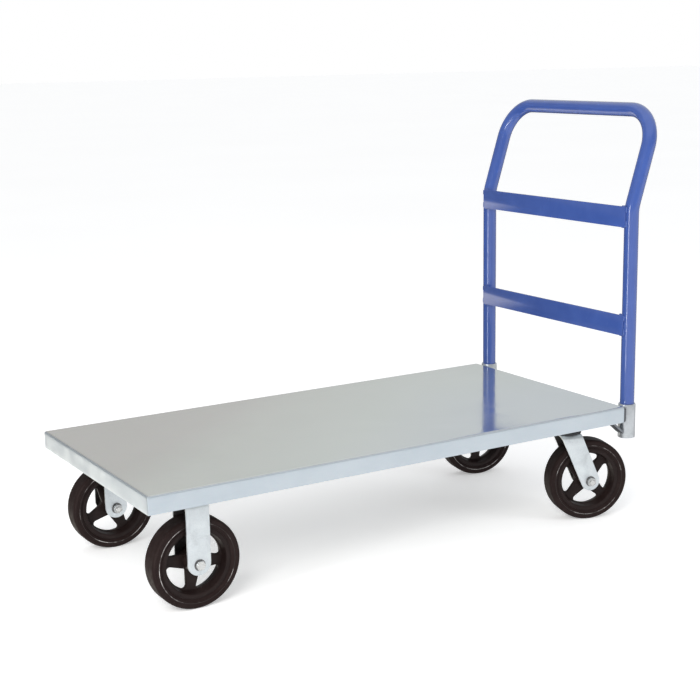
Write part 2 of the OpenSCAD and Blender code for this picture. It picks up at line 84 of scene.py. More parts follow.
# ------------------------------------------------------------------ node helpers
class Mat:
    """A procedural material on one Principled shader."""

    def __init__(self, name, **values):
        self.m = bpy.data.materials.new(name)
        self.m.use_nodes = True
        self.t = self.m.node_tree
        self.t.nodes.clear()
        out = self.t.nodes.new("ShaderNodeOutputMaterial")
        self.b = self.t.nodes.new("ShaderNodeBsdfPrincipled")
        self.t.links.new(self.b.outputs[0], out.inputs[0])
        for k, v in values.items():
            self.b.inputs[k.replace("_", " ")].default_value = v
        self.h = None

    def put(self, socket, value):
        self.t.links.new(value, self.b.inputs[socket])

    def coord(self, scale=(1, 1, 1)):
        c = self.t.nodes.new("ShaderNodeTexCoord")
        if tuple(scale) == (1, 1, 1):
            return c.outputs["Object"]
        m = self.t.nodes.new("ShaderNodeMapping")
        m.inputs["Scale"].default_value = scale
        self.t.links.new(c.outputs["Object"], m.inputs["Vector"])
        return m.outputs[0]

    def noise(self, scale, detail=3, rough=0.5, vec=None, distortion=0.0):
        n = self.t.nodes.new("ShaderNodeTexNoise")
        n.inputs["Scale"].default_value = scale
        n.inputs["Detail"].default_value = detail
        n.inputs["Roughness"].default_value = rough
        n.inputs["Distortion"].default_value = distortion
        self.t.links.new(vec or self.coord(), n.inputs["Vector"])
        return n.outputs["Fac"]

    def cells(self, scale, vec=None, what="Color", feature="F1", rand=1.0):
        n = self.t.nodes.new("ShaderNodeTexVoronoi")
        n.feature = feature
        n.inputs["Scale"].default_value = scale
        n.inputs["Randomness"].default_value = rand
        self.t.links.new(vec or self.coord(), n.inputs["Vector"])
        return n.outputs[what]

    def ramp(self, fac, stops):
        r = self.t.nodes.new("ShaderNodeValToRGB")
        e = r.color_ramp.elements
        while len(e) < len(stops):
            e.new(0.5)
        for el, (p, c) in zip(e, stops):
            el.position = p
            el.color = (c, c, c, 1) if isinstance(c, (int, float)) else (*c, 1)
        self.t.links.new(fac, r.inputs[0])
        return r.outputs[0]

    def span(self, fac, a, b, lo=0.0, hi=1.0):
        r = self.t.nodes.new("ShaderNodeMapRange")
        for k, v in (("From Min", a), ("From Max", b), ("To Min", lo), ("To Max", hi)):
            r.inputs[k].default_value = v
        self.t.links.new(fac, r.inputs["Value"])
        return r.outputs[0]

    def mix(self, fac, a, b, how="MIX"):
        n = self.t.nodes.new("ShaderNodeMix")
        n.data_type = "RGBA"
        n.blend_type = how
        for i, v in ((0, fac), (6, a), (7, b)):
            if isinstance(v, bpy.types.NodeSocket):
                self.t.links.new(v, n.inputs[i])
            elif i == 0:
                n.inputs[0].default_value = v
            else:
                n.inputs[i].default_value = (*v, 1)
        return n.outputs[2]

    def math(self, op, a, b=None):
        n = self.t.nodes.new("ShaderNodeMath")
        n.operation = op
        for i, v in enumerate((a, b)):
            if v is None:
                continue
            if isinstance(v, bpy.types.NodeSocket):
                self.t.links.new(v, n.inputs[i])
            else:
                n.inputs[i].default_value = v
        return n.outputs[0]

    def xyz(self, vec=None):
        n = self.t.nodes.new("ShaderNodeSeparateXYZ")
        self.t.links.new(vec or self.coord(), n.inputs[0])
        return n.outputs

    def bump(self, height, strength, distance):
        n = self.t.nodes.new("ShaderNodeBump")
        n.inputs["Strength"].default_value = strength
        n.inputs["Distance"].default_value = distance
        self.t.links.new(height, n.inputs["Height"])
        if self.h is not None:
            self.t.links.new(self.h, n.inputs["Normal"])
        self.h = n.outputs[0]
        self.t.links.new(self.h, self.b.inputs["Normal"])


def deck_top_material():
    m = Mat("deck_sheet", Metallic=0.9)
    x = m.xyz()
    # painted shade: the sheet's colour darkens and warms towards the far left end (-X, +Y)
    far = m.math("ADD", m.span(x[0], 0.25, -0.7), m.span(x[1], -0.3, 0.3, -0.25, 0.55))
    base = m.ramp(far, [(0.0, (0.80, 0.84, 0.86)), (0.35, (0.80, 0.84, 0.815)), (0.75, (0.775, 0.795, 0.765)), (1.0, (0.72, 0.71, 0.69))])
    rolled = m.noise(26, 4, 0.6, m.coord((0.5, 16, 16)))
    base = m.mix(m.span(rolled, 0.35, 0.65, 0, 0.35), base, (0.93, 0.95, 0.96), "MULTIPLY")
    blotch = m.noise(3.2, 4, 0.55, None, 0.6)
    base = m.mix(m.span(blotch, 0.38, 0.62, 0, 0.6), base, (0.95, 0.955, 0.95), "MULTIPLY")
    spangle = m.cells(150, None, "Color")
    base = m.mix(0.03, base, spangle, "OVERLAY")
    m.put("Base Color", base)
    smudge = m.noise(7, 5, 0.65, None, 1.2)
    scuff = m.noise(60, 3, 0.7, m.coord((0.25, 3, 3)))
    m.put("Roughness", m.math("ADD", m.span(smudge, 0.35, 0.7, 0.085, 0.16), m.span(scuff, 0.55, 0.75, 0.0, 0.05)))
    m.bump(m.noise(5.5, 2, 0.4), 0.10, 0.004)
    m.bump(m.noise(420, 2, 0.5), 0.03, 0.0002)
    return m.m


def skirt_material():
    m = Mat("deck_skirt", Metallic=0.85)
    blotch = m.noise(5, 5, 0.6, m.coord((1, 1, 2)), 0.5)
    base = m.ramp(blotch, [(0.3, (0.68, 0.76, 0.825)), (0.55, (0.715, 0.79, 0.85)), (0.8, (0.75, 0.82, 0.87))])
    rolled = m.noise(30, 4, 0.6, m.coord((1, 1, 14)))
    base = m.mix(m.span(rolled, 0.35, 0.65, 0, 0.3), base, (0.93, 0.95, 0.97), "MULTIPLY")
    base = m.mix(0.015, base, m.cells(170), "OVERLAY")
    m.put("Base Color", base)
    m.put("Roughness", m.span(m.noise(22, 4, 0.6), 0.3, 0.7, 0.30, 0.42))
    m.bump(m.noise(9, 2, 0.5), 0.05, 0.003)
    m.bump(m.noise(500, 2, 0.5), 0.05, 0.0003)
    return m.m


def under_material():
    m = Mat("deck_underside", Metallic=0.75)
    base = m.ramp(m.noise(11, 5, 0.65, None, 0.5), [(0.3, (0.42, 0.44, 0.45)), (0.6, (0.55, 0.57, 0.58)), (0.85, (0.63, 0.65, 0.65))])
    base = m.mix(0.06, base, m.cells(110), "OVERLAY")
    m.put("Base Color", base)
    m.put("Roughness", m.span(m.noise(30, 4, 0.6), 0.3, 0.7, 0.38, 0.55))
    m.bump(m.noise(260, 3, 0.6), 0.08, 0.0006)
    return m.m


def zinc_material(name, tone=(0.835, 0.89, 0.92), rough=(0.33, 0.5), spangle=70, strength=0.2, metallic=0.8):
    """Zinc-plated plate: soft spangle in brightness, small dark specks, fine tooth."""
    m = Mat(name, Metallic=metallic)
    big = m.noise(28, 5, 0.65, None, 0.4)
    base = m.ramp(big, [(0.28, tuple(c * 0.84 for c in tone)), (0.5, tone), (0.75, tuple(min(1, c * 1.1) for c in tone))])
    cell = m.cells(spangle * 2.2)
    base = m.mix(strength, base, m.ramp(m.math("MULTIPLY", cell, 1.0), [(0.15, 0.42), (0.85, 0.60)]), "OVERLAY")
    grain = m.noise(330, 3, 0.7)
    base = m.mix(m.span(grain, 0.42, 0.62, 0, 0.4), base, (0.88, 0.9, 0.92), "MULTIPLY")
    specks = m.noise(520, 2, 0.5)
    base = m.mix(m.span(specks, 0.68, 0.76, 0, 0.55), base, (0.3, 0.31, 0.32))
    m.put("Base Color", base)
    m.put("Roughness", m.span(m.noise(90, 4, 0.6), 0.3, 0.7, *rough))
    m.bump(m.noise(240, 3, 0.6), 0.10, 0.0005)
    m.bump(m.noise(38, 2, 0.5), 0.10, 0.001)
    return m.m


def enamel_material():
    m = Mat("blue_enamel", Coat_Weight=1.0, Coat_Roughness=0.05)
    m.b.inputs["Coat IOR"].default_value = 1.5
    base = m.ramp(m.noise(14, 4, 0.55, None, 0.3), [(0.3, (0.036, 0.083, 0.325)), (0.6, (0.043, 0.095, 0.355)), (0.85, (0.055, 0.113, 0.395))])
    worn = m.noise(75, 5, 0.7, m.coord((1, 1, 0.35)))
    base = m.mix(m.span(worn, 0.66, 0.74, 0, 0.35), base, (0.12, 0.18, 0.46))
    m.put("Base Color", base)
    m.put("Roughness", m.span(m.noise(50, 4, 0.6), 0.3, 0.7, 0.14, 0.24))
    m.bump(m.noise(330, 2, 0.5), 0.05, 0.0005)
    m.bump(m.noise(60, 2, 0.5, m.coord((1, 1, 0.4))), 0.05, 0.001)
    return m.m


def iron_material():
    m = Mat("cast_iron_paint", Metallic=0.0, Specular_IOR_Level=0.18)
    base = m.ramp(m.noise(45, 5, 0.65, None, 0.4), [(0.3, (0.014, 0.0084, 0.0078)), (0.6, (0.0195, 0.0120, 0.0112)), (0.85, (0.031, 0.0205, 0.0190))])
    chip = m.noise(210, 4, 0.7)
    base = m.mix(m.span(chip, 0.67, 0.74, 0, 0.5), base, (0.10, 0.088, 0.082))
    m.put("Base Color", base)
    m.put("Roughness", m.span(m.noise(120, 3, 0.6), 0.3, 0.7, 0.30, 0.55))
    m.bump(m.noise(230, 4, 0.65), 0.32, 0.0011)
    m.bump(m.noise(55, 3, 0.5), 0.25, 0.0014)
    return m.m


def rubber_material():
    m = Mat("tyre_rubber", Metallic=0.0, Specular_IOR_Level=0.12)
    base = m.ramp(m.noise(30, 5, 0.6, None, 0.5), [(0.3, (0.0155, 0.0088, 0.0083)), (0.6, (0.0205, 0.0122, 0.0113)), (0.85, (0.028, 0.0182, 0.0170))])
    dust = m.noise(160, 4, 0.7)
    base = m.mix(m.span(dust, 0.62, 0.76, 0, 0.4), base, (0.075, 0.066, 0.062))
    m.put("Base Color", base)
    m.put("Roughness", m.span(m.noise(80, 4, 0.6), 0.3, 0.7, 0.42, 0.62))
    m.bump(m.noise(420, 3, 0.6), 0.16, 0.0006)
    m.bump(m.noise(35, 2, 0.5), 0.15, 0.001)
    return m.m


def beadline_material():
    """The rib round the tyre's side, with painted glints: broken light streaks in its colour stand in for highlights.
    """
    m = Mat("tyre_rib_painted_glint", Metallic=0.0, Specular_IOR_Level=0.4)
    base = m.mix(m.span(m.noise(17, 3, 0.6), 0.46, 0.58), (0.020, 0.013, 0.012), (0.46, 0.44, 0.43))
    base = m.mix(m.span(m.noise(150, 3, 0.7), 0.45, 0.6, 0, 0.8), base, (0.022, 0.015, 0.014))
    m.put("Base Color", base)
    m.put("Roughness", m.span(m.noise(90, 3, 0.6), 0.3, 0.7, 0.25, 0.45))
    m.bump(m.noise(300, 3, 0.6), 0.15, 0.0004)
    return m.m


def bright_material(name, tone, rough, specks=0.3):
    m = Mat(name, Metallic=0.95)
    base = m.ramp(m.noise(70, 4, 0.6, None, 0.4), [(0.3, tuple(c * 0.88 for c in tone)), (0.55, tone), (0.8, tuple(min(1, c * 1.06) for c in tone))])
    dirt = m.noise(520, 3, 0.6)
    base = m.mix(m.span(dirt, 0.62, 0.74, 0, specks), base, (0.20, 0.19, 0.18))
    m.put("Base Color", base)
    m.put("Roughness", m.span(m.noise(260, 3, 0.6), 0.3, 0.7, *rough))
    m.bump(m.noise(600, 3, 0.6), 0.05, 0.0002)
    return m.m


DECK, SKIRT, UNDER = deck_top_material(), skirt_material(), under_material()
ZINC = zinc_material("caster_zinc")
SOCKET = zinc_material("socket_steel", (0.70, 0.735, 0.765), (0.30, 0.44), 55, 0.15)
# painted shade: the races are near black, standing in for the shaded gap between fork crown and top plate
RACE_SHADE = zinc_material("race_steel_painted_shade", (0.060, 0.060, 0.064), (0.40, 0.55), 60, 0.1, 0.6)
BLUE = enamel_material()
IRON, RUBBER = iron_material(), rubber_material()
BRIGHT = bright_material("bright_zinc", (0.86, 0.87, 0.86), (0.22, 0.36), 0.12)
BEARING = bright_material("bearing_steel", (0.55, 0.55, 0.54), (0.12, 0.25), 0.15)
NIPPLE = bright_material("nipple_steel", (0.86, 0.85, 0.80), (0.14, 0.28), 0.1)
WELD = zinc_material("weld_metal", (0.62, 0.65, 0.67), (0.35, 0.55), 120, 0.25)
# painted shade: the lower part of the top fold is darker, standing in for the dark line where the bend turns from the
# light
FOLD_SHADE = zinc_material("deck_fold_painted_shade", (0.52, 0.55, 0.575), (0.36, 0.5), 90, 0.08, 0.8)
# painted shade: the forks' inner faces get a near-black zinc tone standing in for the shade between the legs
INSIDE_SHADE = zinc_material("fork_inside_painted_shade", (0.060, 0.052, 0.050), (0.5, 0.65), 60, 0.1, 0.45)
# painted shade: the mounting pads and the socket mouth's inner ring are dark, standing in for the shade behind and
# inside the sockets
PAD_SHADE = zinc_material("pad_steel_painted_shade", (0.13, 0.135, 0.15), (0.40, 0.55), 60, 0.12, 0.7)
# painted shade: gusset bars and the socket and gusset welds are darkened for the shade under the deck's end
BAR_SHADE = zinc_material("bar_steel_painted_shade", (0.26, 0.275, 0.30), (0.35, 0.5), 60, 0.15, 0.8)
NUT = bright_material("nut_zinc", (0.70, 0.71, 0.71), (0.20, 0.34), 0.3)
# painted shade: the washers under axle bolt heads and nuts are dark, giving the shaded rim round each hex
SEAT_SHADE = bright_material("washer_steel_painted_shade", (0.24, 0.24, 0.245), (0.25, 0.4), 0.3)
BEADLINE_GLINT = beadline_material()


# ------------------------------------------------------------------ mesh helpers (millimetres in, metres out)
def hexr(apothem, a):
    k = math.radians(60)
    return apothem / math.cos((a + k / 2) % k - k / 2)


class Build:
    def __init__(self):
        self.v, self.f, self.m = [], [], []

    def add(self, verts, faces, M=I4, mi=0):
        n = len(self.v)
        self.v += [M @ Vector(p) for p in verts]
        self.f += [tuple(i + n for i in q) for q in faces]
        self.m += [mi] * len(faces)

    def join(self, count, faces, mi):
        """More faces on the last count vertices, with another finish."""
        n = len(self.v) - count
        self.f += [tuple(i + n for i in q) for q in faces]
        self.m += [mi] * len(faces)

    def turn(self, prof, seg=64, M=I4, mi=0, closed=True):
        """Revolves a profile about local Z. prof is a list of (r, z), or a function of the angle that returns one.
        An open profile that ends on the axis is closed there."""
        fn = prof if callable(prof) else (lambda a: prof)
        first = fn(0.0)
        n = len(first)
        rings, verts, faces = [], [], []
        for i in range(n):
            if first[i][0] < 1e-6:
                rings.append([len(verts)])
                verts.append((0, 0, first[i][1]))
            else:
                rings.append(list(range(len(verts), len(verts) + seg)))
                for j in range(seg):
                    a = 2 * math.pi * j / seg
                    r, z = fn(a)[i]
                    verts.append((r * math.cos(a), r * math.sin(a), z))
        pairs = [(i, i + 1) for i in range(n - 1)] + ([(n - 1, 0)] if closed else [])
        for i, k in pairs:
            A, C = rings[i], rings[k]
            for j in range(seg):
                j2 = (j + 1) % seg
                if len(A) == 1 and len(C) == 1:
                    continue
                if len(A) == 1:
                    faces.append((A[0], C[j], C[j2]))
                elif len(C) == 1:
                    faces.append((A[j], C[0], A[j2]))
                else:
                    faces.append((A[j], C[j], C[j2], A[j2]))
        self.add(verts, faces, M, mi)

    def frames(self, path):
        path = [Vector(p) for p in path]
        out = []
        t0 = (path[1] - path[0]).normalized()
        ref = Vector((0, 1, 0)) if abs(t0.y) < 0.8 else Vector((1, 0, 0))
        n = (ref - t0 * ref.dot(t0)).normalized()
        for i, p in enumerate(path):
            t = (path[min(i + 1, len(path) - 1)] - path[max(i - 1, 0)]).normalized()
            n = (n - t * n.dot(t)).normalized()
            out.append((p, n, t.cross(n)))
        return out

    def pipe(self, path, r_out, r_in, seg=48, mi=0):
        """A closed tube shell along a path."""
        fr = self.frames(path)
        k = len(fr)
        verts, faces = [], []
        for r in (r_out, r_in):
            for p, n, b in fr:
                verts += [p + n * (r * math.cos(2 * math.pi * j / seg)) + b * (r * math.sin(2 * math.pi * j / seg)) for j in range(seg)]
        o, q = 0, k * seg
        for i in range(k - 1):
            for j in range(seg):
                j2 = (j + 1) % seg
                faces.append((o + i * seg + j, o + i * seg + j2, o + (i + 1) * seg + j2, o + (i + 1) * seg + j))
                faces.append((q + i * seg + j2, q + i * seg + j, q + (i + 1) * seg + j, q + (i + 1) * seg + j2))
        for j in range(seg):
            j2 = (j + 1) % seg
            faces.append((o + j2, o + j, q + j, q + j2))
            e = (k - 1) * seg
            faces.append((o + e + j, o + e + j2, q + e + j2, q + e + j))
        self.add(verts, faces, I4, mi)

    def bead(self, a, b, r, pitch=3.2, seed=0.0, mi=0, M=I4, flat=1.0):
        """A rippled weld bead from a to b with rounded ends."""
        a, b = Vector(a), Vector(b)
        length = (b - a).length
        steps = max(8, int(length / pitch * 4))
        t = (b - a).normalized()
        ref = Vector((0, 0, 1)) if abs(t.z) < 0.8 else Vector((1, 0, 0))
        n = (ref - t * ref.dot(t)).normalized()
        c = t.cross(n)
        seg, verts, faces = 12, [], []
        for i in range(steps + 1):
            s = i / steps
            end = min(s, 1 - s) * length
            env = math.sqrt(max(0.03, 1 - max(0, 1 - end / (1.4 * r)) ** 2))
            ph = 2 * math.pi * s * length / pitch
            w = noise.noise(Vector((s * length * 0.11 + seed * 7.1, seed, 0.3)))
            rr = r * env * (1 + 0.085 * math.sin(ph) + 0.16 * w)
            mid = a + t * (s * length) + n * (0.25 * r * w)
            for j in range(seg):
                u = 2 * math.pi * j / seg
                verts.append(mid + n * (rr * math.cos(u)) + c * (rr * math.sin(u) * flat))
        for i in range(steps):
            for j in range(seg):
                j2 = (j + 1) % seg
                faces.append((i * seg + j, i * seg + j2, (i + 1) * seg + j2, (i + 1) * seg + j))
        faces.append(tuple(reversed(range(seg))))
        faces.append(tuple(steps * seg + j for j in range(seg)))
        self.add(verts, faces, M, mi)

    def hexagon(self, af, h, M=I4, hole=0.0, mi=0, seg=60):
        """A hexagon head or nut standing on local Z = 0, with chamfered corners."""
        ap, rc = af / 2, af / 2 * 1.03

        def prof(a):
            r = hexr(ap, a)
            low = max(0.0, r - rc) * 0.55
            top = [(min(r, rc) * 0.995, h), (r, h - 0.12 - low)]
            side = [(r, 0.12 + (low if hole else 0)), (min(r, rc) if hole else r * 0.995, 0.0)]
            if hole:
                return top + side + [(hole + 0.5, 0.0), (hole, 0.5), (hole, h - 0.5), (hole + 0.5, h)]
            return [(0, h), (ap * 0.86, h)] + top + side + [(0, 0)]

        self.turn(prof, seg, M, mi, closed=bool(hole))

    def slab(self, outline, z0, z1, rr=0.6, M=I4, mi=0):
        """A plate of a convex-ish outline (list of x, y) with rounded rims, standing along local Z."""
        n = len(outline)
        c = Vector((sum(p[0] for p in outline) / n, sum(p[1] for p in outline) / n))
        normals = []
        for i in range(n):
            a, b = Vector(outline[i - 1]), Vector(outline[(i + 1) % n])
            d = (b - a).normalized()
            nn = Vector((d.y, -d.x))
            if nn.dot(Vector(outline[i]) - c) < 0:
                nn = -nn
            normals.append(nn)
        rings = [(rr, z0), (rr * 0.3, z0 + rr * 0.3), (0, z0 + rr), (0, z1 - rr), (rr * 0.3, z1 - rr * 0.3), (rr, z1)]
        verts, faces = [], []
        for inset, z in rings:
            verts += [(p[0] - q.x * inset, p[1] - q.y * inset, z) for p, q in zip(outline, normals)]
        for k in range(len(rings) - 1):
            for i in range(n):
                j = (i + 1) % n
                faces.append((k * n + i, k * n + j, (k + 1) * n + j, (k + 1) * n + i))
        faces.append(tuple(reversed(range(n))))
        faces.append(tuple((len(rings) - 1) * n + i for i in range(n)))
        self.add(verts, faces, M, mi)

    def pierced(self, outer, holes, half, rr, M=I4, mi=0):
        """A flat casting between local Z = -half and half, with openings and rounded rims."""
        loops = []
        for pts, sign in [(outer, 1)] + [(h, -1) for h in holes]:
            n = len(pts)
            area = sum(pts[i][0] * pts[(i + 1) % n][1] - pts[(i + 1) % n][0] * pts[i][1] for i in range(n))
            pts = [Vector(p) for p in (pts if area > 0 else list(reversed(pts)))]
            nor = []
            for i in range(n):
                d = (pts[(i + 1) % n] - pts[i - 1]).normalized()
                nor.append(Vector((-d.y, d.x)) * sign)  # from the void into the metal
            loops.append((pts, nor))
        rings = [(rr, half), (rr * 0.62, half - rr * 0.08), (rr * 0.29, half - rr * 0.29), (rr * 0.08, half - rr * 0.62), (0, half - rr)]
        rings += [(i, -z) for i, z in reversed(rings)]
        starts, verts, faces = [], [], []
        for pts, nor in loops:
            starts.append(len(verts))
            for inset, z in rings:
                verts += [(p.x + q.x * inset, p.y + q.y * inset, z) for p, q in zip(pts, nor)]
            n = len(pts)
            st = starts[-1]
            for k in range(len(rings) - 1):
                for i in range(n):
                    j = (i + 1) % n
                    faces.append((st + k * n + i, st + k * n + j, st + (k + 1) * n + j, st + (k + 1) * n + i))
        for last in (0, len(rings) - 1):
            flat, index = [], []
            for (pts, nor), st in zip(loops, starts):
                n = len(pts)
                ids = [st + last * n + i for i in range(n)]
                flat.append([Vector(verts[i]) for i in ids])
                index += ids
            for tri in tessellate_polygon(flat):
                faces.append(tuple(index[i] for i in tri))
        self.add(verts, faces, M, mi)

    def done(self, name, mats, body, nodes=(), slot=None, sharp=38):
        me = bpy.data.meshes.new(name)
        me.from_pydata([tuple(p * MM) for p in self.v], [], self.f)
        for i, m in enumerate(self.m):
            me.polygons[i].material_index = m
        bm = bmesh.new()
        bm.from_mesh(me)
        bmesh.ops.remove_doubles(bm, verts=bm.verts, dist=1e-7)
        bmesh.ops.recalc_face_normals(bm, faces=bm.faces)
        bm.to_mesh(me)
        bm.free()
        for m in mats:
            me.materials.append(m)
        return settle(me, name, body, nodes, sharp)


def settle(me, name, body, nodes=(), sharp=38):
    me.shade_smooth()
    me.set_sharp_from_angle(angle=math.radians(sharp))
    ob = bpy.data.objects.new(name, me)
    scene.collection.objects.link(ob)
    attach(ob, body)
    if nodes:
        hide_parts(*([nodes] if isinstance(nodes, str) else nodes))
    return ob


def rounded_rect(w, h, r, cx=0.0, cy=0.0, seg=5):
    out = []
    for sx, sy, a0 in ((1, 1, 0), (-1, 1, 90), (-1, -1, 180), (1, -1, 270)):
        for i in range(seg + 1):
            a = math.radians(a0 + 90 * i / seg)
            out.append((cx + sx * (w / 2 - r) + r * math.cos(a), cy + sy * (h / 2 - r) + r * math.sin(a)))
    return out


def T(x, y, z):
    return Matrix.Translation((x, y, z))


def R(deg, axis):
    return Matrix.Rotation(math.radians(deg), 4, axis)


# ------------------------------------------------------------------ measures taken from the frame
DLO, DHI = mm("deck_pan")
DX, DCX, TOP, BOT = (DHI.x - DLO.x) / 2, (DHI.x + DLO.x) / 2, DHI.z, DLO.z
HW = (DHI.y - DLO.y) / 2
JOINTS = {j["name"]: j for j in frame["joints"]}


def deck():
    """The folded pan: a hair of oil-canning in the sheet, rounded folds, welded and ground corners."""
    t, r, rc = 2.7, 5.0, 1.8
    b = Build()

    def grid_line(half, n):
        ends = [0, 0.35, 0.9, 1.8, 6, 14]
        mid = [-half + 14 + (2 * half - 28) * i / n for i in range(1, n)]
        return [-half + e for e in ends] + mid + [half - e for e in reversed(ends)]

    def face(z, inset, flip, mi, amp):
        hx, hy = DX - inset, HW - inset
        xs, ys = grid_line(hx, 64), grid_line(hy, 32)
        nx, ny = len(xs), len(ys)

        def pos(x, y):
            ex, ey = hx - abs(x), hy - abs(y)
            if ex < rc and ey < rc:
                d = Vector((rc - ex, rc - ey))
                if d.length > rc * 0.98:
                    k = rc / d.length
                    x = math.copysign(hx - rc + d.x * k, x)
                    y = math.copysign(hy - rc + d.y * k, y)
            e = min(1.0, min(ex, ey) / 90)
            w = noise.noise(Vector((x * 0.0042, y * 0.0055, 2.7))) + 0.5 * noise.noise(Vector((x * 0.009, y * 0.011, 9.1)))
            return (DCX + x, y, z + amp * e * e * (3 - 2 * e) * (w - 0.55))

        verts = [pos(x, y) for x in xs for y in ys]
        faces = []
        for i in range(nx - 1):
            for j in range(ny - 1):
                q = (i * ny + j, (i + 1) * ny + j, (i + 1) * ny + j + 1, i * ny + j + 1)
                faces.append(tuple(reversed(q)) if flip else q)
        b.add(verts, faces, I4, mi)
        return xs, ys

    def ring(inset, z, base):
        """Boundary loop at the given inset from the outer faces, matching the grid's own boundary."""
        hx, hy = DX - inset, HW - inset
        xs, ys = grid_line(DX - base, 64), grid_line(HW - base, 32)
        loop = [(x, -1) for x in xs[:-1]] + [(1, y) for y in ys[:-1]] + [(x, 1) for x in reversed(xs[1:])] + [(-1, y) for y in reversed(ys[1:])]
        out = []
        grow_x, grow_y = base - inset, base - inset
        for p in loop:
            if p in [(x, -1) for x in xs[:-1]] or p in [(x, 1) for x in xs]:
                x, y = p[0], p[1] * hy
                near = 1 - min(1.0, (DX - base - abs(x)) / 1.8)
                x += math.copysign(grow_x * (1 if DX - base - abs(x) < 1.85 else 0), x) if near >= 0 and DX - base - abs(x) < 1.85 else 0
            else:
                x, y = p[0] * hx, p[1]
                y += math.copysign(grow_y, y) if HW - base - abs(y) < 1.85 else 0
            ex, ey = hx - abs(x), hy - abs(y)
            if ex < rc and ey < rc:
                d = Vector((rc - ex, rc - ey))
                if d.length > rc * 0.98:
                    k = rc / d.length
                    x = math.copysign(hx - rc + d.x * k, x)
                    y = math.copysign(hy - rc + d.y * k, y)
            out.append((DCX + x, y, z))
        return out

    def skin(levels, base, flip, mi):
        loops = [ring(i, z, base) for i, z in levels]
        n = len(loops[0])
        verts = [p for lp in loops for p in lp]
        faces = []
        for k in range(len(loops) - 1):
            for i in range(n):
                j = (i + 1) % n
                q = (k * n + i, (k + 1) * n + i, (k + 1) * n + j, k * n + j)
                faces.append(tuple(reversed(q)) if flip else q)
        b.add(verts, faces, I4, mi)

    face(TOP, r, False, 0, 0.35)
    fold = [(r - r * math.sin(math.radians(a)), TOP - r + r * math.cos(math.radians(a))) for a in (0, 12, 25, 38, 50)]
    skin(fold[:3], r, False, 0)
    # painted shade on the lower part of the fold
    skin(fold[2:], r, False, 3)
    low = [(r - r * math.sin(math.radians(a)), TOP - r + r * math.cos(math.radians(a))) for a in (50, 62, 75, 90)]
    down = [(0, TOP - 12), (0, TOP - 24), (0, BOT + 6), (0, BOT + 0.7), (0.2, BOT + 0.2), (0.7, BOT), (t - 0.7, BOT), (t - 0.2, BOT + 0.2), (t, BOT + 0.7)]
    skin(low + down, r, False, 1)
    ri = r - t
    inner = [(t, BOT + 0.7), (t, TOP - r)] + [(r - ri * math.sin(math.radians(a)), TOP - r + ri * math.cos(math.radians(a))) for a in (60, 30, 0)]
    skin(inner, r, False, 2)
    face(TOP - t, r, True, 2, 0.35)
    b.done("deck_sheet", [DECK, SKIRT, UNDER, FOLD_SHADE], "chassis", "deck_pan", "deck_sheet", sharp=50)

    w = Build()
    for sx in (-1, 1):
        for sy in (-1, 1):
            cx, cy = DCX + sx * (DX - 1.65), sy * (HW - 1.65)
            w.bead((cx, cy, BOT + 1.2), (cx, cy, TOP - 5.5), 1.25, 2.6, sx + 3 * sy + 5)
            ix, iy = DCX + sx * (DX - 4.2), sy * (HW - 4.2)
            w.bead((ix, iy, BOT + 2), (ix, iy, TOP - 6), 2.2, 3.4, sx + 2 * sy + 9)
    w.done("deck_corner_welds", [SKIRT], "chassis", (), "deck_sheet")


def hat_channel(name, node, z0, wt):
    """A pressed channel with rounded bends under the deck, and its stitch welds."""
    lo, hi = mm(node)
    x0, x1, y0, y1, z1 = lo.x, hi.x, lo.y, hi.y, hi.z
    t, ro, lip = wt, 6.0, 18.0
    cx, half = (x0 + x1) / 2, (x1 - x0) / 2 - lip
    # centreline of the sheet, from one lip to the other
    pts = [(-half - lip, z1 - t / 2)]

    def arc(cx_, cz_, r, a0, a1, n=5):
        return [(cx_ + r * math.cos(math.radians(a0 + (a1 - a0) * i / n)), cz_ + r * math.sin(math.radians(a0 + (a1 - a0) * i / n))) for i in range(n + 1)]

    rm = ro - t / 2
    pts += arc(-half + t / 2 - rm, z1 - t / 2 - rm, rm, 90, 0)
    pts += arc(-half + t / 2 + rm, z0 + t / 2 + rm, rm, 180, 270)
    pts += arc(half - t / 2 - rm, z0 + t / 2 + rm, rm, 270, 360)
    pts += arc(half - t / 2 + rm, z1 - t / 2 - rm, rm, 180, 90)
    pts += [(half + lip, z1 - t / 2)]
    n = len(pts)
    nor = []
    for i in range(n):
        a, b_ = Vector(pts[max(i - 1, 0)]), Vector(pts[min(i + 1, n - 1)])
        d = (b_ - a).normalized()
        nor.append(Vector((-d.y, d.x)))
    ring = [(p[0] + q.x * t / 2, p[1] + q.y * t / 2) for p, q in zip(pts, nor)] + [(p[0] - q.x * t / 2, p[1] - q.y * t / 2) for p, q in reversed(list(zip(pts, nor)))]
    b = Build()
    k = len(ring)
    verts = [(cx + x, y, z) for y in (y0, y1) for x, z in ring]
    faces = [(i, (i + 1) % k, k + (i + 1) % k, k + i) for i in range(k)]
    for e in (0, k):
        for i in range(n - 1):
            q = (e + i, e + i + 1, e + k - 2 - i, e + k - 1 - i)
            faces.append(q)
    b.add(verts, faces)
    b.done(name, [UNDER], "chassis", node, "channel_steel", sharp=30)
    w = Build()
    s = 0
    for side in (-1, 1):
        for i in range(6):
            y = y0 + 40 + (y1 - y0 - 110) * i / 5
            w.bead((cx + side * (half + lip + 0.6), y, z1 - t + 0.4), (cx + side * (half + lip + 0.6), y + 30, z1 - t + 0.4), 2.3, 3.0, s)
            s += 1.3
    w.done(name + "_welds", [WELD], "chassis", (), "channel_steel")


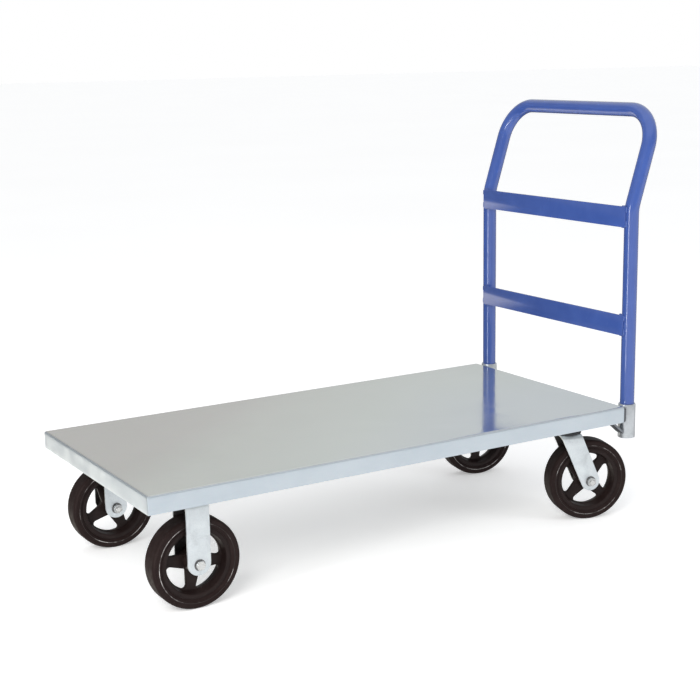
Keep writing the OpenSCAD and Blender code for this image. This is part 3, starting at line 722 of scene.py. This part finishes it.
def sockets():
    for side, node in ((-1, "left_socket"), (1, "right_socket")):
        lo, hi = mm(node)
        cx, cy, r = (lo.x + hi.x) / 2, (lo.y + hi.y) / 2, (hi.x - lo.x) / 2
        bore = 35.05 / 2
        z0, z1 = lo.z, hi.z
        b = Build()
        b.turn([(r - 0.8, z0), (r - 0.2, z0 + 0.25), (r, z0 + 0.9), (r, (z0 + z1) / 2), (r, z1 - 1.0), (r - 0.3, z1 - 0.3), (r - 1.0, z1),
                (bore + 1.0, z1), (bore + 0.2, z1 - 0.4), (bore, z1 - 1.0), (bore, z0 + 0.8), (bore + 0.6, z0)], 72, T(cx, cy, 0))
        # the mouth's inner ring takes the dark painted-shade finish
        b.turn([(bore + 0.05, z1 - 1.6), (bore + 0.05, z1 - 0.12), (bore + 1.1, z1 - 0.02), (bore + 1.25, z1 - 0.4), (bore + 1.25, z1 - 1.6)], 72, T(cx, cy, 0), 1)
        b.done(node + "_pipe", [SOCKET, PAD_SHADE], "chassis", node, "socket_steel")
    lo, hi = mm("socket_pads")
    b, w = Build(), Build()
    for s in (-1, 1):
        cy = s * (hi.y - 20)
        b.slab(rounded_rect(40, hi.z - lo.z, 3, cy, (hi.z + lo.z) / 2), lo.x + 0.02, hi.x, 0.7,
               Matrix(((0, 0, 1, 0), (1, 0, 0, 0), (0, 1, 0, 0), (0, 0, 0, 1))))
        plo, phi = mm("left_socket")
        pcx = (plo.x + phi.x) / 2
        for k in (-1, 1):
            w.bead((hi.x + 2.2, cy + k * 11.5, lo.z + 1.5), (hi.x + 2.2, cy + k * 11.5, hi.z - 1), 3.6, 3.4, k + 2.1 * s)
            w.bead((lo.x + 0.9, cy + k * 20.0, lo.z + 3), (lo.x + 0.9, cy + k * 20.0, hi.z - 3), 1.25, 3.0, k + 1.1 * s + 4)
        w.bead((lo.x + 1.4, cy - 18, hi.z + 0.4), (lo.x + 1.4, cy + 18, hi.z + 0.4), 2.0, 3.0, 6.2 * s)
        w.bead((pcx - 21.4, cy - 10, mm("socket_gussets")[0].z + 7), (pcx - 21.4, cy + 10, mm("socket_gussets")[0].z + 7), 2.6, 3.2, 3.3 * s)
    b.done("socket_mount_pads", [PAD_SHADE], "chassis", "socket_pads", "socket_steel")
    w.done("socket_welds", [BAR_SHADE], "chassis", (), "socket_steel")


def gussets():
    """Sloping flat bars from the side of the end channel to the foot of each socket."""
    hi = mm("socket_gussets")[1]
    me = frame["nodes"]["socket_gussets"].data
    b, w = Build(), Build()
    for s in (-1, 1):
        pts = [(v.co.x * 1000, v.co.z * 1000) for v in me.vertices if v.co.y * s > 0]
        x0, x1 = min(p[0] for p in pts), max(p[0] for p in pts)
        far = [p[1] for p in pts if p[0] < x0 + 0.5]
        near = [p[1] for p in pts if p[0] > x1 - 0.5]
        y0 = s * (hi.y - 12.5)
        b.slab([(x1, min(near)), (x1, max(near)), (x0, max(far)), (x0, min(far))], y0 - 12.5, y0 + 12.5, 0.8,
               Matrix(((1, 0, 0, 0), (0, 0, 1, 0), (0, 1, 0, 0), (0, 0, 0, 1))))
        w.bead((x0 + 1.2, y0 - 11, min(far) + 0.2), (x0 + 1.2, y0 + 11, min(far) + 0.2), 2.2, 3.2, 1.7 * s)
        w.bead((x0 + 1.2, y0 - 11, max(far) - 0.2), (x0 + 1.2, y0 + 11, max(far) - 0.2), 2.0, 3.2, 2.9 * s)
    b.done("gusset_bars", [BAR_SHADE], "chassis", "socket_gussets", "socket_steel", sharp=25)
    w.done("gusset_welds", [BAR_SHADE], "chassis", (), "socket_steel")


def handle():
    """The hoop as one bent tube, the two flat braces, and their weld beads."""
    lo, hi = mm("handle_hoop")
    slo, shi = mm("left_socket")
    px, r = (slo.x + shi.x) / 2, 34.93 / 2
    py = hi.y - r
    foot, kink, lean, ll, cr, kr = lo.z, KINK_Z, LEAN, LEAN_L, CORNER_R, KINK_R
    c, s = math.cos(lean), math.sin(lean)

    def leaning(y, w, u=0.0):
        """Point w along the leaning plane above the corner."""
        return (px + w * s, y, kink + w * c)

    kl = kr * math.tan(lean / 2)
    pts = [(px, -py, foot), (px, -py, foot + 8), (px, -py, foot + 90)]
    pts += [(px, -py, foot + 90 + (kink - kl - foot - 90) * i / 8) for i in range(1, 9)]
    for i in range(1, 13):
        a = lean * i / 12
        pts.append((px + kr - kr * math.cos(a), -py, kink - kl + kr * math.sin(a)))
    for i in range(1, 5):
        pts.append(leaning(-py, kl + (ll - cr - kl) * i / 4))
    for i in range(1, 25):
        a = math.pi / 2 * i / 24
        pts.append(leaning(-py + cr - cr * math.cos(a), ll - cr + cr * math.sin(a)))
    half = [Vector(p) for p in pts]
    other = [Vector((p.x, -p.y, p.z)) for p in reversed(half)]
    bar = [half[-1].lerp(other[0], i / 8) for i in range(1, 8)]
    path = half + bar + other
    b = Build()
    b.pipe(path, r, r - 2.1, 64)
    b.done("handle_tube", [BLUE], "handle", "handle_hoop", "blue_enamel", sharp=50)

    for node in ("lower_brace", "upper_brace"):
        lo, hi = mm(node)
        b = Build()
        b.slab(rounded_rect(hi.y - lo.y, hi.z - lo.z, 1.2, 0, (hi.z + lo.z) / 2, 3), lo.x, hi.x, 0.7,
               Matrix(((0, 0, 1, 0), (1, 0, 0, 0), (0, 1, 0, 0), (0, 0, 0, 1))))
        b.done(node + "_bar", [BLUE], "handle", node, "blue_enamel")
        w = Build()
        for k in (-1, 1):
            y = k * (hi.y + 1.6)
            seed = k * 2.3 + lo.z * 0.01
            w.bead((hi.x - 1.0, y, hi.z - 15), (hi.x - 1.0, y, hi.z - 0.5), 2.9, 3.4, seed)
            w.bead((hi.x - 1.0, y, lo.z + 0.5), (hi.x - 1.0, y, lo.z + 17), 2.9, 3.4, seed + 1)
            yi = k * (hi.y - 9)
            w.bead((hi.x + 1.2, yi - 6, hi.z + 0.2), (hi.x + 1.2, yi + 8, hi.z + 0.2), 2.2, 3.2, seed + 2)
            w.bead((hi.x + 1.2, yi - 6, lo.z - 0.2), (hi.x + 1.2, yi + 8, lo.z - 0.2), 2.2, 3.2, seed + 3)
        w.done(node + "_welds", [BLUE], "handle", (), "blue_enamel")


# ------------------------------------------------------------------ wheels
def wheel(prefix):
    """A cast core with four spokes and a moulded tyre bonded on it, about its own axle."""
    body = prefix + "_wheel"
    j = JOINTS[prefix + "_spin"]
    centre = Vector(j["pos_m"]) * 1000
    axis = Vector(j["axis"]).normalized()
    turn_deg = WHEEL_TURN[prefix]
    z = -axis  # local Z of the turned shapes runs towards -Y
    base_x = Vector((axis.y, -axis.x, 0)).normalized()
    M = Matrix((base_x, z.cross(base_x), z)).transposed().to_4x4()
    M = Matrix.Translation(centre) @ M @ R(turn_deg, "Z")

    b = Build()
    h = 25.4
    side = [(80.0, 20.4), (81.2, 20.9), (83.4, 23.6), (85.2, 24.6), (87.0, 24.8), (88.6, 24.85), (90.4, 24.8),
            (94.6, 24.9), (95.8, 25.3), (96.9, 25.1), (98.4, 24.2), (99.8, 22.6), (100.9, 20.8), (101.45, 19.0), (101.6, 16.5)]
    tread = [(101.6, 12), (101.6, 1.2), (101.6, 0)]
    prof = side + tread + [(r_, -z_) for r_, z_ in reversed(side + tread[:2])]
    b.turn(prof, 144, M)
    for k in (-1, 1):
        # rib rings carry the painted-glint finish
        b.turn([(86.9, k * 24.2), (87.2, k * 25.15), (87.6, k * 25.38), (88.0, k * 25.38), (88.5, k * 25.15), (88.8, k * 24.2)], 144, M, 1)
    b.done(prefix + "_rubber_tyre", [RUBBER, BEADLINE_GLINT], body, prefix + "_tyre", "rubber_tyre", sharp=40)

    # cast core: rim ring, hub and the four-spoke web
    b = Build()
    rim = [(65.0, -3.0), (65.8, -4.9), (67.0, -8.0), (69.0, -17.6), (69.8, -20.1), (71.6, -21.0), (78.6, -21.0), (79.8, -20.4), (80.0, -19.6)]
    b.turn(rim + [(r_, -z_) for r_, z_ in reversed(rim)], 144, M)
    hub = [(15.1, -28.6), (20.6, -28.6), (21.7, -27.6), (22.0, -26.2), (22.3, -11), (23.2, -6.4), (24.8, -3.9)]
    b.turn(hub + [(r_, -z_) for r_, z_ in reversed(hub)], 72, M)
    win = window_outline()
    holes = []
    for k in range(4):
        a = math.radians(90 * k)
        holes.append([(x * math.cos(a) - y * math.sin(a), x * math.sin(a) + y * math.cos(a)) for x, y in win])
    holes.append([(17.5 * math.cos(2 * math.pi * i / 48), 17.5 * math.sin(2 * math.pi * i / 48)) for i in range(48)])
    b.pierced([(71.0 * math.cos(2 * math.pi * i / 144), 71.0 * math.sin(2 * math.pi * i / 144)) for i in range(144)], holes, 4.5, 1.6, M)
    b.done(prefix + "_cast_core", [IRON], body, prefix + "_core", "iron_core", sharp=42)


def window_outline():
    """One opening between two spokes: spokes widen towards the hub, corners are rounded."""
    wi, wo, ro = HUB_HALF, RIM_HALF, 64.0
    d = Vector((62.0 - wi, wo - wi)).normalized()  # lower edge, from the tip outwards
    n = Vector((-d.y, d.x))

    def edge_offset(f):
        return Vector((wi, wi)) + n * f

    out = []
    # tip fillet
    ft = 5.0
    c = edge_offset(ft)
    # the tip's centre sits on the diagonal
    k = (c.y - c.x) / (d.x - d.y)
    tip = c + d * k
    # outer fillet at the lower edge
    fo = 7.0
    p = edge_offset(fo)
    bq = p.dot(d)
    cq = p.length_squared - (ro - fo) ** 2
    s = -bq + math.sqrt(bq * bq - cq)
    oc = p + d * s
    a0 = math.atan2(-n.y, -n.x)
    a1 = math.atan2(oc.y, oc.x)
    for i in range(7):
        a = a0 + (a1 - a0) * i / 6
        out.append((oc.x + fo * math.cos(a), oc.y + fo * math.sin(a)))
    b1 = math.pi / 2 - a1
    for i in range(1, 14):
        a = a1 + (b1 - a1) * i / 14
        out.append((ro * math.cos(a), ro * math.sin(a)))
    for i in range(7):
        a = math.pi / 2 - (a1 + (a0 - a1) * i / 6)
        out.append((oc.y + fo * math.cos(a), oc.x + fo * math.sin(a)))
    e0, e1 = math.pi / 2 - a0, a0 + 2 * math.pi
    e0 = e0 if e0 > 0 else e0 + 2 * math.pi
    for i in range(7):
        a = e0 + (e1 - e0) * i / 6
        out.append((tip.x + ft * math.cos(a), tip.y + ft * math.sin(a)))
    return out


# ------------------------------------------------------------------ forks
def loft_fork(top, r, wide, end_z):
    """A bent plate along an upside-down U. wide(z) gives its edges (u0, u1) at that height.
    Returns vertices, outer faces and inner faces."""
    t, gap = 5.0, 60.4
    ym = gap / 2 + t / 2
    rm = r - t / 2
    st = []
    zt = top - r
    zs = []
    n = 34
    for i in range(n + 1):
        s = i / n
        zs.append(end_z + 0.35 + (zt - end_z - 0.35) * (1 - math.cos(s * math.pi / 2)) ** 1.0)
    for z in zs:
        st.append((-ym, z, -1.0, 0.0))
    for i in range(1, 11):
        a = math.radians(9 * i)
        st.append((-ym + rm - rm * math.cos(a), zt + rm * math.sin(a), -math.cos(a), math.sin(a)))
    mid = [(-ym + rm + (2 * ym - 2 * rm) * i / 6, top - t / 2, 0.0, 1.0) for i in range(1, 6)]
    full = st + mid + [(-y, z, -ny, nz) for y, z, ny, nz in reversed(st)]
    rr = 1.1
    verts, faces = [], []
    for y, z, ny, nz in full:
        u0, u1 = wide(z)
        q = min(rr, (u1 - u0) * 0.3)
        h = t / 2
        prof = [(u0 + q, h), (u0 + q * 0.3, h - rr * 0.3), (u0, h - rr), (u0, -h + rr), (u0 + q * 0.3, -h + rr * 0.3), (u0 + q, -h),
                (u1 - q, -h), (u1 - q * 0.3, -h + rr * 0.3), (u1, -h + rr), (u1, h - rr), (u1 - q * 0.3, h - rr * 0.3), (u1 - q, h)]
        verts += [(u, y + ny * o, z + nz * o) for u, o in prof]
    k = 12
    inner = []
    for i in range(len(full) - 1):
        for j in range(k):
            j2 = (j + 1) % k
            (inner if 4 <= j <= 6 else faces).append((i * k + j, i * k + j2, (i + 1) * k + j2, (i + 1) * k + j))
    faces += [tuple(range(k)), tuple((len(full) - 1) * k + j for j in range(k))]
    return verts, faces, inner


def axle_parts(b_bolt, b_nut, M, flip=False):
    """Bolt head on the -Y leg's outside, nut on the other, about the wheel's centre."""
    fy = 35.2
    K = M @ (R(180, "Z") if flip else I4)
    head = K @ T(0, -fy, 0) @ R(90, "X") @ R(30, "Z")
    b_bolt.hexagon(19.05, 8.0, head)
    # washer under the head takes the dark painted-shade finish
    b_bolt.turn([(0, 0), (12.0, 0), (12.6, 0.4), (12.6, 1.4), (12.1, 1.8), (0, 1.8)], 40, K @ T(0, -fy, 0) @ R(90, "X"), 1, False)
    shank = [(0, -fy - 13.9), (4.9, -fy - 13.9), (5.7, -fy - 13.2)]
    z = -fy - 12.9
    while z < -fy + 2:
        shank += [(6.3, z), (5.75, z + 0.8)]
        z += 1.6
    shank += [(6.35, z), (6.35, fy), (0, fy)]
    b_bolt.turn(shank, 32, K @ R(90, "X"), 0, False)
    nut = K @ T(0, fy, 0) @ R(-90, "X") @ R(10, "Z")
    # washer under the nut takes the dark painted-shade finish
    b_nut.turn([(6.6, 0), (12.2, 0), (12.8, 0.4), (12.8, 1.3), (12.3, 1.8), (6.6, 1.8)], 40, K @ T(0, fy, 0) @ R(-90, "X"), 1)
    b_nut.hexagon(19.05, 10.9, nut, 6.42)


def rigid_casters():
    bolts, nuts = Build(), Build()
    for prefix, body_node in (("left_rigid", "left_rigid_yoke"), ("right_rigid", "right_rigid_yoke")):
        c = Vector(JOINTS[prefix + "_spin"]["pos_m"]) * 1000
        foot_z = c.z + 3.4
        hw = 27.0

        def wide(z):
            d = foot_z - z
            w = math.sqrt(max(1.0, hw * hw - d * d)) if d > 0 else hw
            return -w, w

        b = Build()
        v, f, g = loft_fork(mm("rigid_top_plates")[0].z, 24, wide, foot_z - hw)
        b.add(v, f, T(c.x, c.y, 0))
        # inner faces take the painted-shade finish
        b.join(len(v), g, 1)
        ylo = mm("rigid_top_plates")[0].z
        for k in (-1, 1):
            for q in (-1, 1):
                b.bead((c.x - 22, c.y + k * 17, ylo - 2.6) if q < 0 else (c.x + 2, c.y + k * 17, ylo - 2.6),
                       (c.x - 2, c.y + k * 17, ylo - 2.6) if q < 0 else (c.x + 22, c.y + k * 17, ylo - 2.6), 1.6, 3, k + q * 0.7 + c.y)
        b.done(prefix + "_fork", [ZINC, INSIDE_SHADE], "chassis", body_node, "caster_zinc", sharp=30)
        axle_parts(bolts, nuts, T(*c), flip=c.y > 0)
    bolts.done("rigid_hex_bolts", [BRIGHT, SEAT_SHADE], "chassis", "rigid_axle_bolts", "bright_zinc", sharp=28)
    nuts.done("rigid_hex_nuts", [NUT, SEAT_SHADE], "chassis", "rigid_axle_nuts", "bright_zinc", sharp=28)


def swivel_casters():
    for side in ("left", "right"):
        prefix = side + "_swivel"
        piv = Vector(JOINTS[prefix + "_turn"]["pos_m"]) * 1000
        c = Vector(JOINTS[prefix + "_spin"]["pos_m"]) * 1000
        ang = math.degrees(math.atan2(c.y - piv.y, c.x - piv.x))
        trail = math.hypot(c.x - piv.x, c.y - piv.y)
        M = T(piv.x, piv.y, 0) @ R(ang, "Z")
        fr, top, legt, axz = 24.0, mm(prefix + "_fork")[1].z, 222.0, c.z
        l0, r0 = Vector((-27.5, legt)), Vector((27.0, legt))

        def tangent(p, s):
            d = Vector((trail, axz)) - p
            ln = d.length
            a = math.atan2(d.y, d.x) + s * math.asin(fr / ln)
            return p + Vector((math.cos(a), math.sin(a))) * math.sqrt(ln * ln - fr * fr)

        tl, tr = tangent(l0, -1), tangent(r0, 1)

        def wide(z):
            if z >= legt:
                return -27.5, 27.0
            cir = math.sqrt(max(1.0, fr * fr - (z - axz) ** 2))
            u0 = l0.x + (tl.x - l0.x) * (l0.y - z) / (l0.y - tl.y) if z > tl.y else trail - cir
            u1 = r0.x + (tr.x - r0.x) * (r0.y - z) / (r0.y - tr.y) if z > tr.y else trail + cir
            return u0, u1

        b = Build()
        v, f, g = loft_fork(top, 12, wide, axz - fr)
        b.add(v, f, M)
        # inner faces take the painted-shade finish
        b.join(len(v), g, 1)
        b.done(prefix + "_plate_fork", [ZINC, INSIDE_SHADE], prefix, prefix + "_fork", "caster_zinc", sharp=30)
        bolt, nut = Build(), Build()
        axle_parts(bolt, nut, M @ T(trail, 0, axz), flip=side == "left")
        bolt.done(prefix + "_hex_bolt", [BRIGHT, SEAT_SHADE], prefix, prefix + "_axle_bolt", "bright_zinc", sharp=28)
        nut.done(prefix + "_hex_nut", [NUT, SEAT_SHADE], prefix, prefix + "_axle_nut", "bright_zinc", sharp=28)
        lo, hi = mm(side + "_lower_race")
        ro = (hi.x - lo.x) / 2
        b = Build()
        b.turn([(19, lo.z), (ro - 1.2, lo.z), (ro - 0.3, lo.z + 0.3), (ro, lo.z + 1.2), (ro, hi.z - 0.6), (ro - 0.7, hi.z), (32.0, hi.z), (31.3, hi.z - 1.6), (29.4, hi.z - 3.0), (27, hi.z - 3.5),
                (24.6, hi.z - 3.0), (22.8, hi.z - 1.6), (22, hi.z), (19.5, hi.z), (19, hi.z - 0.5)], 72, T(piv.x, piv.y, 0))
        b.done(side + "_race_cup", [RACE_SHADE], prefix, side + "_lower_race", "bearing_steel")
    # plates, upper races, kingpins and nuts stand still with the chassis
    plates, races, pins, wash, kn = Build(), Build(), Build(), Build(), Build()
    lo, hi = mm("swivel_top_plates")
    ulo, uhi = mm("upper_races")
    for side in ("left", "right"):
        piv = Vector(JOINTS[side + "_swivel_turn"]["pos_m"]) * 1000
        plates.slab(rounded_rect(114.3, 101.6, 9, 0, 0), lo.z, hi.z, 0.7, T(piv.x, piv.y, 0))
        races.turn([(19, uhi.z), (32, uhi.z), (36, uhi.z - 0.5), (37, uhi.z - 1.6), (37, ulo.z + 0.8), (36.4, ulo.z), (32.6, ulo.z), (31.0, ulo.z + 2.0), (27, ulo.z + 3.6), (23, ulo.z + 2.0),
                    (21.4, ulo.z), (19.6, ulo.z), (19, ulo.z + 0.6)], 72, T(piv.x, piv.y, 0))
        klo, khi = mm("kingpins")
        pins.turn([(0, klo.z), (6.6, klo.z), (7.6, klo.z + 0.8), (7.9, klo.z + 1.6), (7.94, klo.z + 12), (7.94, khi.z - 3.2), (12.0, khi.z - 0.2), (12.0, khi.z), (0, khi.z)], 48, T(piv.x, piv.y, 0), 0, False)
        wlo, whi = mm("king_washers")
        wash.turn([(8.2, wlo.z), (15.6, wlo.z), (16, wlo.z + 0.4), (16, whi.z - 0.4), (15.6, whi.z), (8.2, whi.z)], 48, T(piv.x, piv.y, 0))
        nlo, nhi = mm("king_nuts")
        kn.hexagon(23.7, nhi.z - nlo.z, T(piv.x, piv.y, nlo.z), 8.0)
    plates.done("swivel_mount_plates", [ZINC], "chassis", "swivel_top_plates", "caster_zinc")
    races.done("swivel_race_caps", [RACE_SHADE], "chassis", "upper_races", "bearing_steel")
    pins.done("swivel_kingpins", [BRIGHT], "chassis", "kingpins", "bright_zinc")
    wash.done("kingpin_washers", [BRIGHT], "chassis", "king_washers", "bright_zinc")
    kn.done("kingpin_nuts", [BRIGHT], "chassis", "king_nuts", "bright_zinc", sharp=28)


def mounting():
    """Rigid plates and the sixteen plate fasteners."""
    lo, hi = mm("rigid_top_plates")
    plates = Build()
    spots = []
    for side in ("left", "right"):
        c = Vector(JOINTS[side + "_rigid_spin"]["pos_m"]) * 1000
        p = Vector(JOINTS[side + "_swivel_turn"]["pos_m"]) * 1000
        plates.slab(rounded_rect(114.3, 101.6, 9, 0, 0), lo.z, hi.z, 0.7, T(c.x, c.y, 0))
        spots += [(q.x + sx * 46.05, q.y + sy * 33.35) for q in (c, p) for sx in (-1, 1) for sy in (-1, 1)]
    plates.done("rigid_mount_plates", [ZINC], "chassis", "rigid_top_plates", "caster_zinc")
    blo, bhi = mm("caster_bolts")
    nlo, nhi = mm("caster_nuts")
    wlo, whi = mm("caster_lock_washers")
    bolts, nuts, washers = Build(), Build(), Build()
    for i, (x, y) in enumerate(spots):
        prof = [(0, blo.z), (3.6, blo.z), (4.3, blo.z + 0.6)]
        z = blo.z + 0.9
        while z < blo.z + 13:
            prof += [(4.7, z), (4.25, z + 0.6)]
            z += 1.25
        prof += [(4.7, z), (4.7, bhi.z - 5), (9.5, bhi.z - 5), (9.3, bhi.z - 3.4), (7.8, bhi.z - 1.6), (4.6, bhi.z - 0.3), (0, bhi.z)]
        bolts.turn(prof, 24, T(x, y, 0), 0, False)
        nuts.hexagon(14.29, nhi.z - nlo.z, T(x, y, nlo.z) @ R(37 * i, "Z"), 4.8, 0, 48)

        def split(a, i=i):
            g = ((a / (2 * math.pi) + 0.13 * i) % 1.0)
            lift = 0.7 if g < 0.03 else (0.0)
            return [(4.95, wlo.z + lift * 0.3), (8.3, wlo.z + lift * 0.3), (8.4, wlo.z + 0.3), (8.4, whi.z - 0.25), (8.2, whi.z), (4.95, whi.z)]
        washers.turn(split, 48, T(x, y, 0))
    bolts.done("plate_carriage_bolts", [BRIGHT], "chassis", "caster_bolts", "bright_zinc", sharp=30)
    nuts.done("plate_hex_nuts", [BRIGHT], "chassis", "caster_nuts", "bright_zinc", sharp=28)
    washers.done("plate_spring_washers", [BRIGHT], "chassis", "caster_lock_washers", "bright_zinc", sharp=30)


KINK_Z, LEAN, LEAN_L, CORNER_R, KINK_R = 772.0, math.radians(18), 242.3, 90.0, 100.0
WHEEL_TURN = {"left_rigid": -8.5, "right_rigid": 25.0, "left_swivel": 45.0, "right_swivel": 0.0}
HUB_HALF, RIM_HALF = 17.5, 10.5

deck()
hat_channel("rigid_end_hat_channel", "rigid_end_channel", mm("rigid_end_channel")[0].z, 3.0)
hat_channel("swivel_end_hat_channel", "swivel_end_channel", mm("swivel_end_channel")[0].z, 3.0)
hat_channel("middle_hat_channel", "mid_channel", mm("mid_channel")[0].z, 3.0)
sockets()
gussets()
handle()
for p_ in ("left_rigid", "right_rigid", "left_swivel", "right_swivel"):
    wheel(p_)
rigid_casters()
swivel_casters()
mounting()

# CAD nodes that keep their own shape get their finish here
for n_, m_ in {
    "socket_stops": SOCKET, "rigid_axle_sleeves": BEARING, "rigid_thrust_washers": BEARING,
    "left_swivel_axle_sleeve": BEARING, "right_swivel_axle_sleeve": BEARING,
    "left_swivel_thrust_washers": BEARING, "right_swivel_thrust_washers": BEARING,
    "left_race_balls": BEARING, "right_race_balls": BEARING,
    "left_rigid_bearing": BEARING, "right_rigid_bearing": BEARING, "left_swivel_bearing": BEARING, "right_swivel_bearing": BEARING,
    "left_rigid_grease_nipple": NIPPLE, "right_rigid_grease_nipple": NIPPLE, "left_swivel_grease_nipple": NIPPLE, "right_swivel_grease_nipple": NIPPLE,
}.items():
    ob_ = frame["nodes"][n_]
    ob_.data.materials.clear()
    ob_.data.materials.append(m_)


# ------------------------------------------------------------------ studio
def studio():
    bpy.ops.mesh.primitive_plane_add(size=120, location=(0, 0, 0))
    floor = bpy.context.object
    floor.name = "studio_floor"
    m = Mat("studio_floor")
    m.put("Base Color", m.ramp(m.noise(0.6, 3, 0.5), [(0.3, (0.90, 0.90, 0.90)), (0.8, (0.93, 0.93, 0.93))]))
    m.b.inputs["Roughness"].default_value = 0.9
    m.b.inputs["Specular IOR Level"].default_value = 0.1
    m.b.inputs["Emission Color"].default_value = (1, 1, 1, 1)
    m.b.inputs["Emission Strength"].default_value = FLOOR_GLOW
    floor.data.materials.append(m.m)
    floor.visible_glossy = False

    w = bpy.data.worlds.new("studio")
    scene.world = w
    w.use_nodes = True
    t = w.node_tree
    t.nodes.clear()

    def node(kind, **kw):
        n = t.nodes.new(kind)
        for k, v in kw.items():
            setattr(n, k, v)
        return n

    out = node("ShaderNodeOutputWorld")
    tc = node("ShaderNodeTexCoord")
    sep = node("ShaderNodeSeparateXYZ")
    t.links.new(tc.outputs["Generated"], sep.inputs[0])
    at = node("ShaderNodeMath", operation="ARCTAN2")
    t.links.new(sep.outputs[1], at.inputs[0])
    t.links.new(sep.outputs[0], at.inputs[1])
    az = node("ShaderNodeMath", operation="MULTIPLY_ADD")
    az.inputs[1].default_value = 1 / (2 * math.pi)
    az.inputs[2].default_value = 0.5
    t.links.new(at.outputs[0], az.inputs[0])

    def ramp(fac, stops):
        r = node("ShaderNodeValToRGB")
        e = r.color_ramp.elements
        while len(e) < len(stops):
            e.new(0.5)
        for el, (p, c) in zip(e, stops):
            el.position = p
            el.color = (c, c, c, 1) if isinstance(c, (int, float)) else (*c, 1)
        t.links.new(fac, r.inputs[0])
        return r.outputs[0]

    def deg(a):
        return a / 360 + 0.5

    low = ramp(az.outputs[0], [(deg(d_), v) for d_, v in LOW])
    mid = ramp(az.outputs[0], [(deg(d_), v) for d_, v in MID])
    high = ramp(az.outputs[0], [(deg(d_), v) for d_, v in HIGH])

    def smooth(a, b):
        n = node("ShaderNodeMapRange", interpolation_type="SMOOTHSTEP")
        n.inputs["From Min"].default_value = a
        n.inputs["From Max"].default_value = b
        t.links.new(sep.outputs[2], n.inputs["Value"])
        return n.outputs[0]

    def mix(f, a, b):
        n = node("ShaderNodeMix", data_type="RGBA")
        t.links.new(f, n.inputs[0])
        for s_, v in ((n.inputs[6], a), (n.inputs[7], b)):
            if isinstance(v, bpy.types.NodeSocket):
                t.links.new(v, s_)
            else:
                s_.default_value = (*v, 1)
        return n.outputs[2]

    col = mix(smooth(-0.24, -0.205), low, mid)
    col = mix(smooth(-0.03, 0.06), col, high)
    col = mix(smooth(0.42, 0.75), col, ZENITH)
    bg = node("ShaderNodeBackground")
    t.links.new(col, bg.inputs[0])
    bg.inputs[1].default_value = 1.0
    white = node("ShaderNodeBackground")
    white.inputs[0].default_value = (1, 1, 1, 1)
    white.inputs[1].default_value = 1.0
    lp = node("ShaderNodeLightPath")
    ms = node("ShaderNodeMixShader")
    t.links.new(lp.outputs["Is Camera Ray"], ms.inputs[0])
    t.links.new(bg.outputs[0], ms.inputs[1])
    t.links.new(white.outputs[0], ms.inputs[2])
    t.links.new(ms.outputs[0], out.inputs[0])

    for name, at_, to, size, power, colour, glossy in LIGHTS:
        ld = bpy.data.lights.new(name, "AREA")
        ld.shape = "RECTANGLE"
        ld.size, ld.size_y = size
        ld.energy = power
        ld.color = colour
        lo = bpy.data.objects.new(name, ld)
        d = Vector(to) - Vector(at_)
        lo.matrix_world = Matrix.Translation(at_) @ d.to_track_quat("-Z", "Y").to_matrix().to_4x4()
        lo.visible_camera = False
        lo.visible_glossy = glossy
        scene.collection.objects.link(lo)


FLOOR_GLOW = 0.36
LOW = [(-180, 0.5), (-162, 0.83), (-150, 0.82), (-40, 0.84), (0, 0.6), (12, 0.15), (84, 0.15), (97, (1.42, 1.34, 1.21)), (118, (1.42, 1.34, 1.21)), (126, 0.12), (163, 0.12), (180, 0.5)]
MID = [(-180, 0.5), (-162, 0.83), (-150, 0.82), (-40, 0.84), (0, 0.6), (12, 0.15), (84, 0.15), (126, 0.12), (163, 0.12), (180, 0.5)]
HIGH = [(-180, 0.43), (-160, 0.46), (-135, 0.35), (-60, 0.35), (0, 0.6), (44, (0.60, 0.625, 0.65)), (58, (0.615, 0.625, 0.62)), (72, (0.57, 0.57, 0.56)), (100, 0.3), (160, 0.3), (180, 0.43)]
ZENITH = (0.80, 0.81, 0.82)
LIGHTS = [
    ("key_soft", (-2.6, -2.4, 2.4), (0, 0, 0.4), (1.6, 1.2), 75, (1.0, 0.985, 0.96), False),
    ("fill_soft", (2.6, -3.2, 1.8), (0.2, 0, 0.4), (1.4, 1.4), 28, (0.95, 0.97, 1.0), False),
    ("strip_left", (-2.3, -0.75, 0.55), (0.6, 0, 0.55), (0.16, 1.7), 16, (1, 1, 1), True),
]
studio()
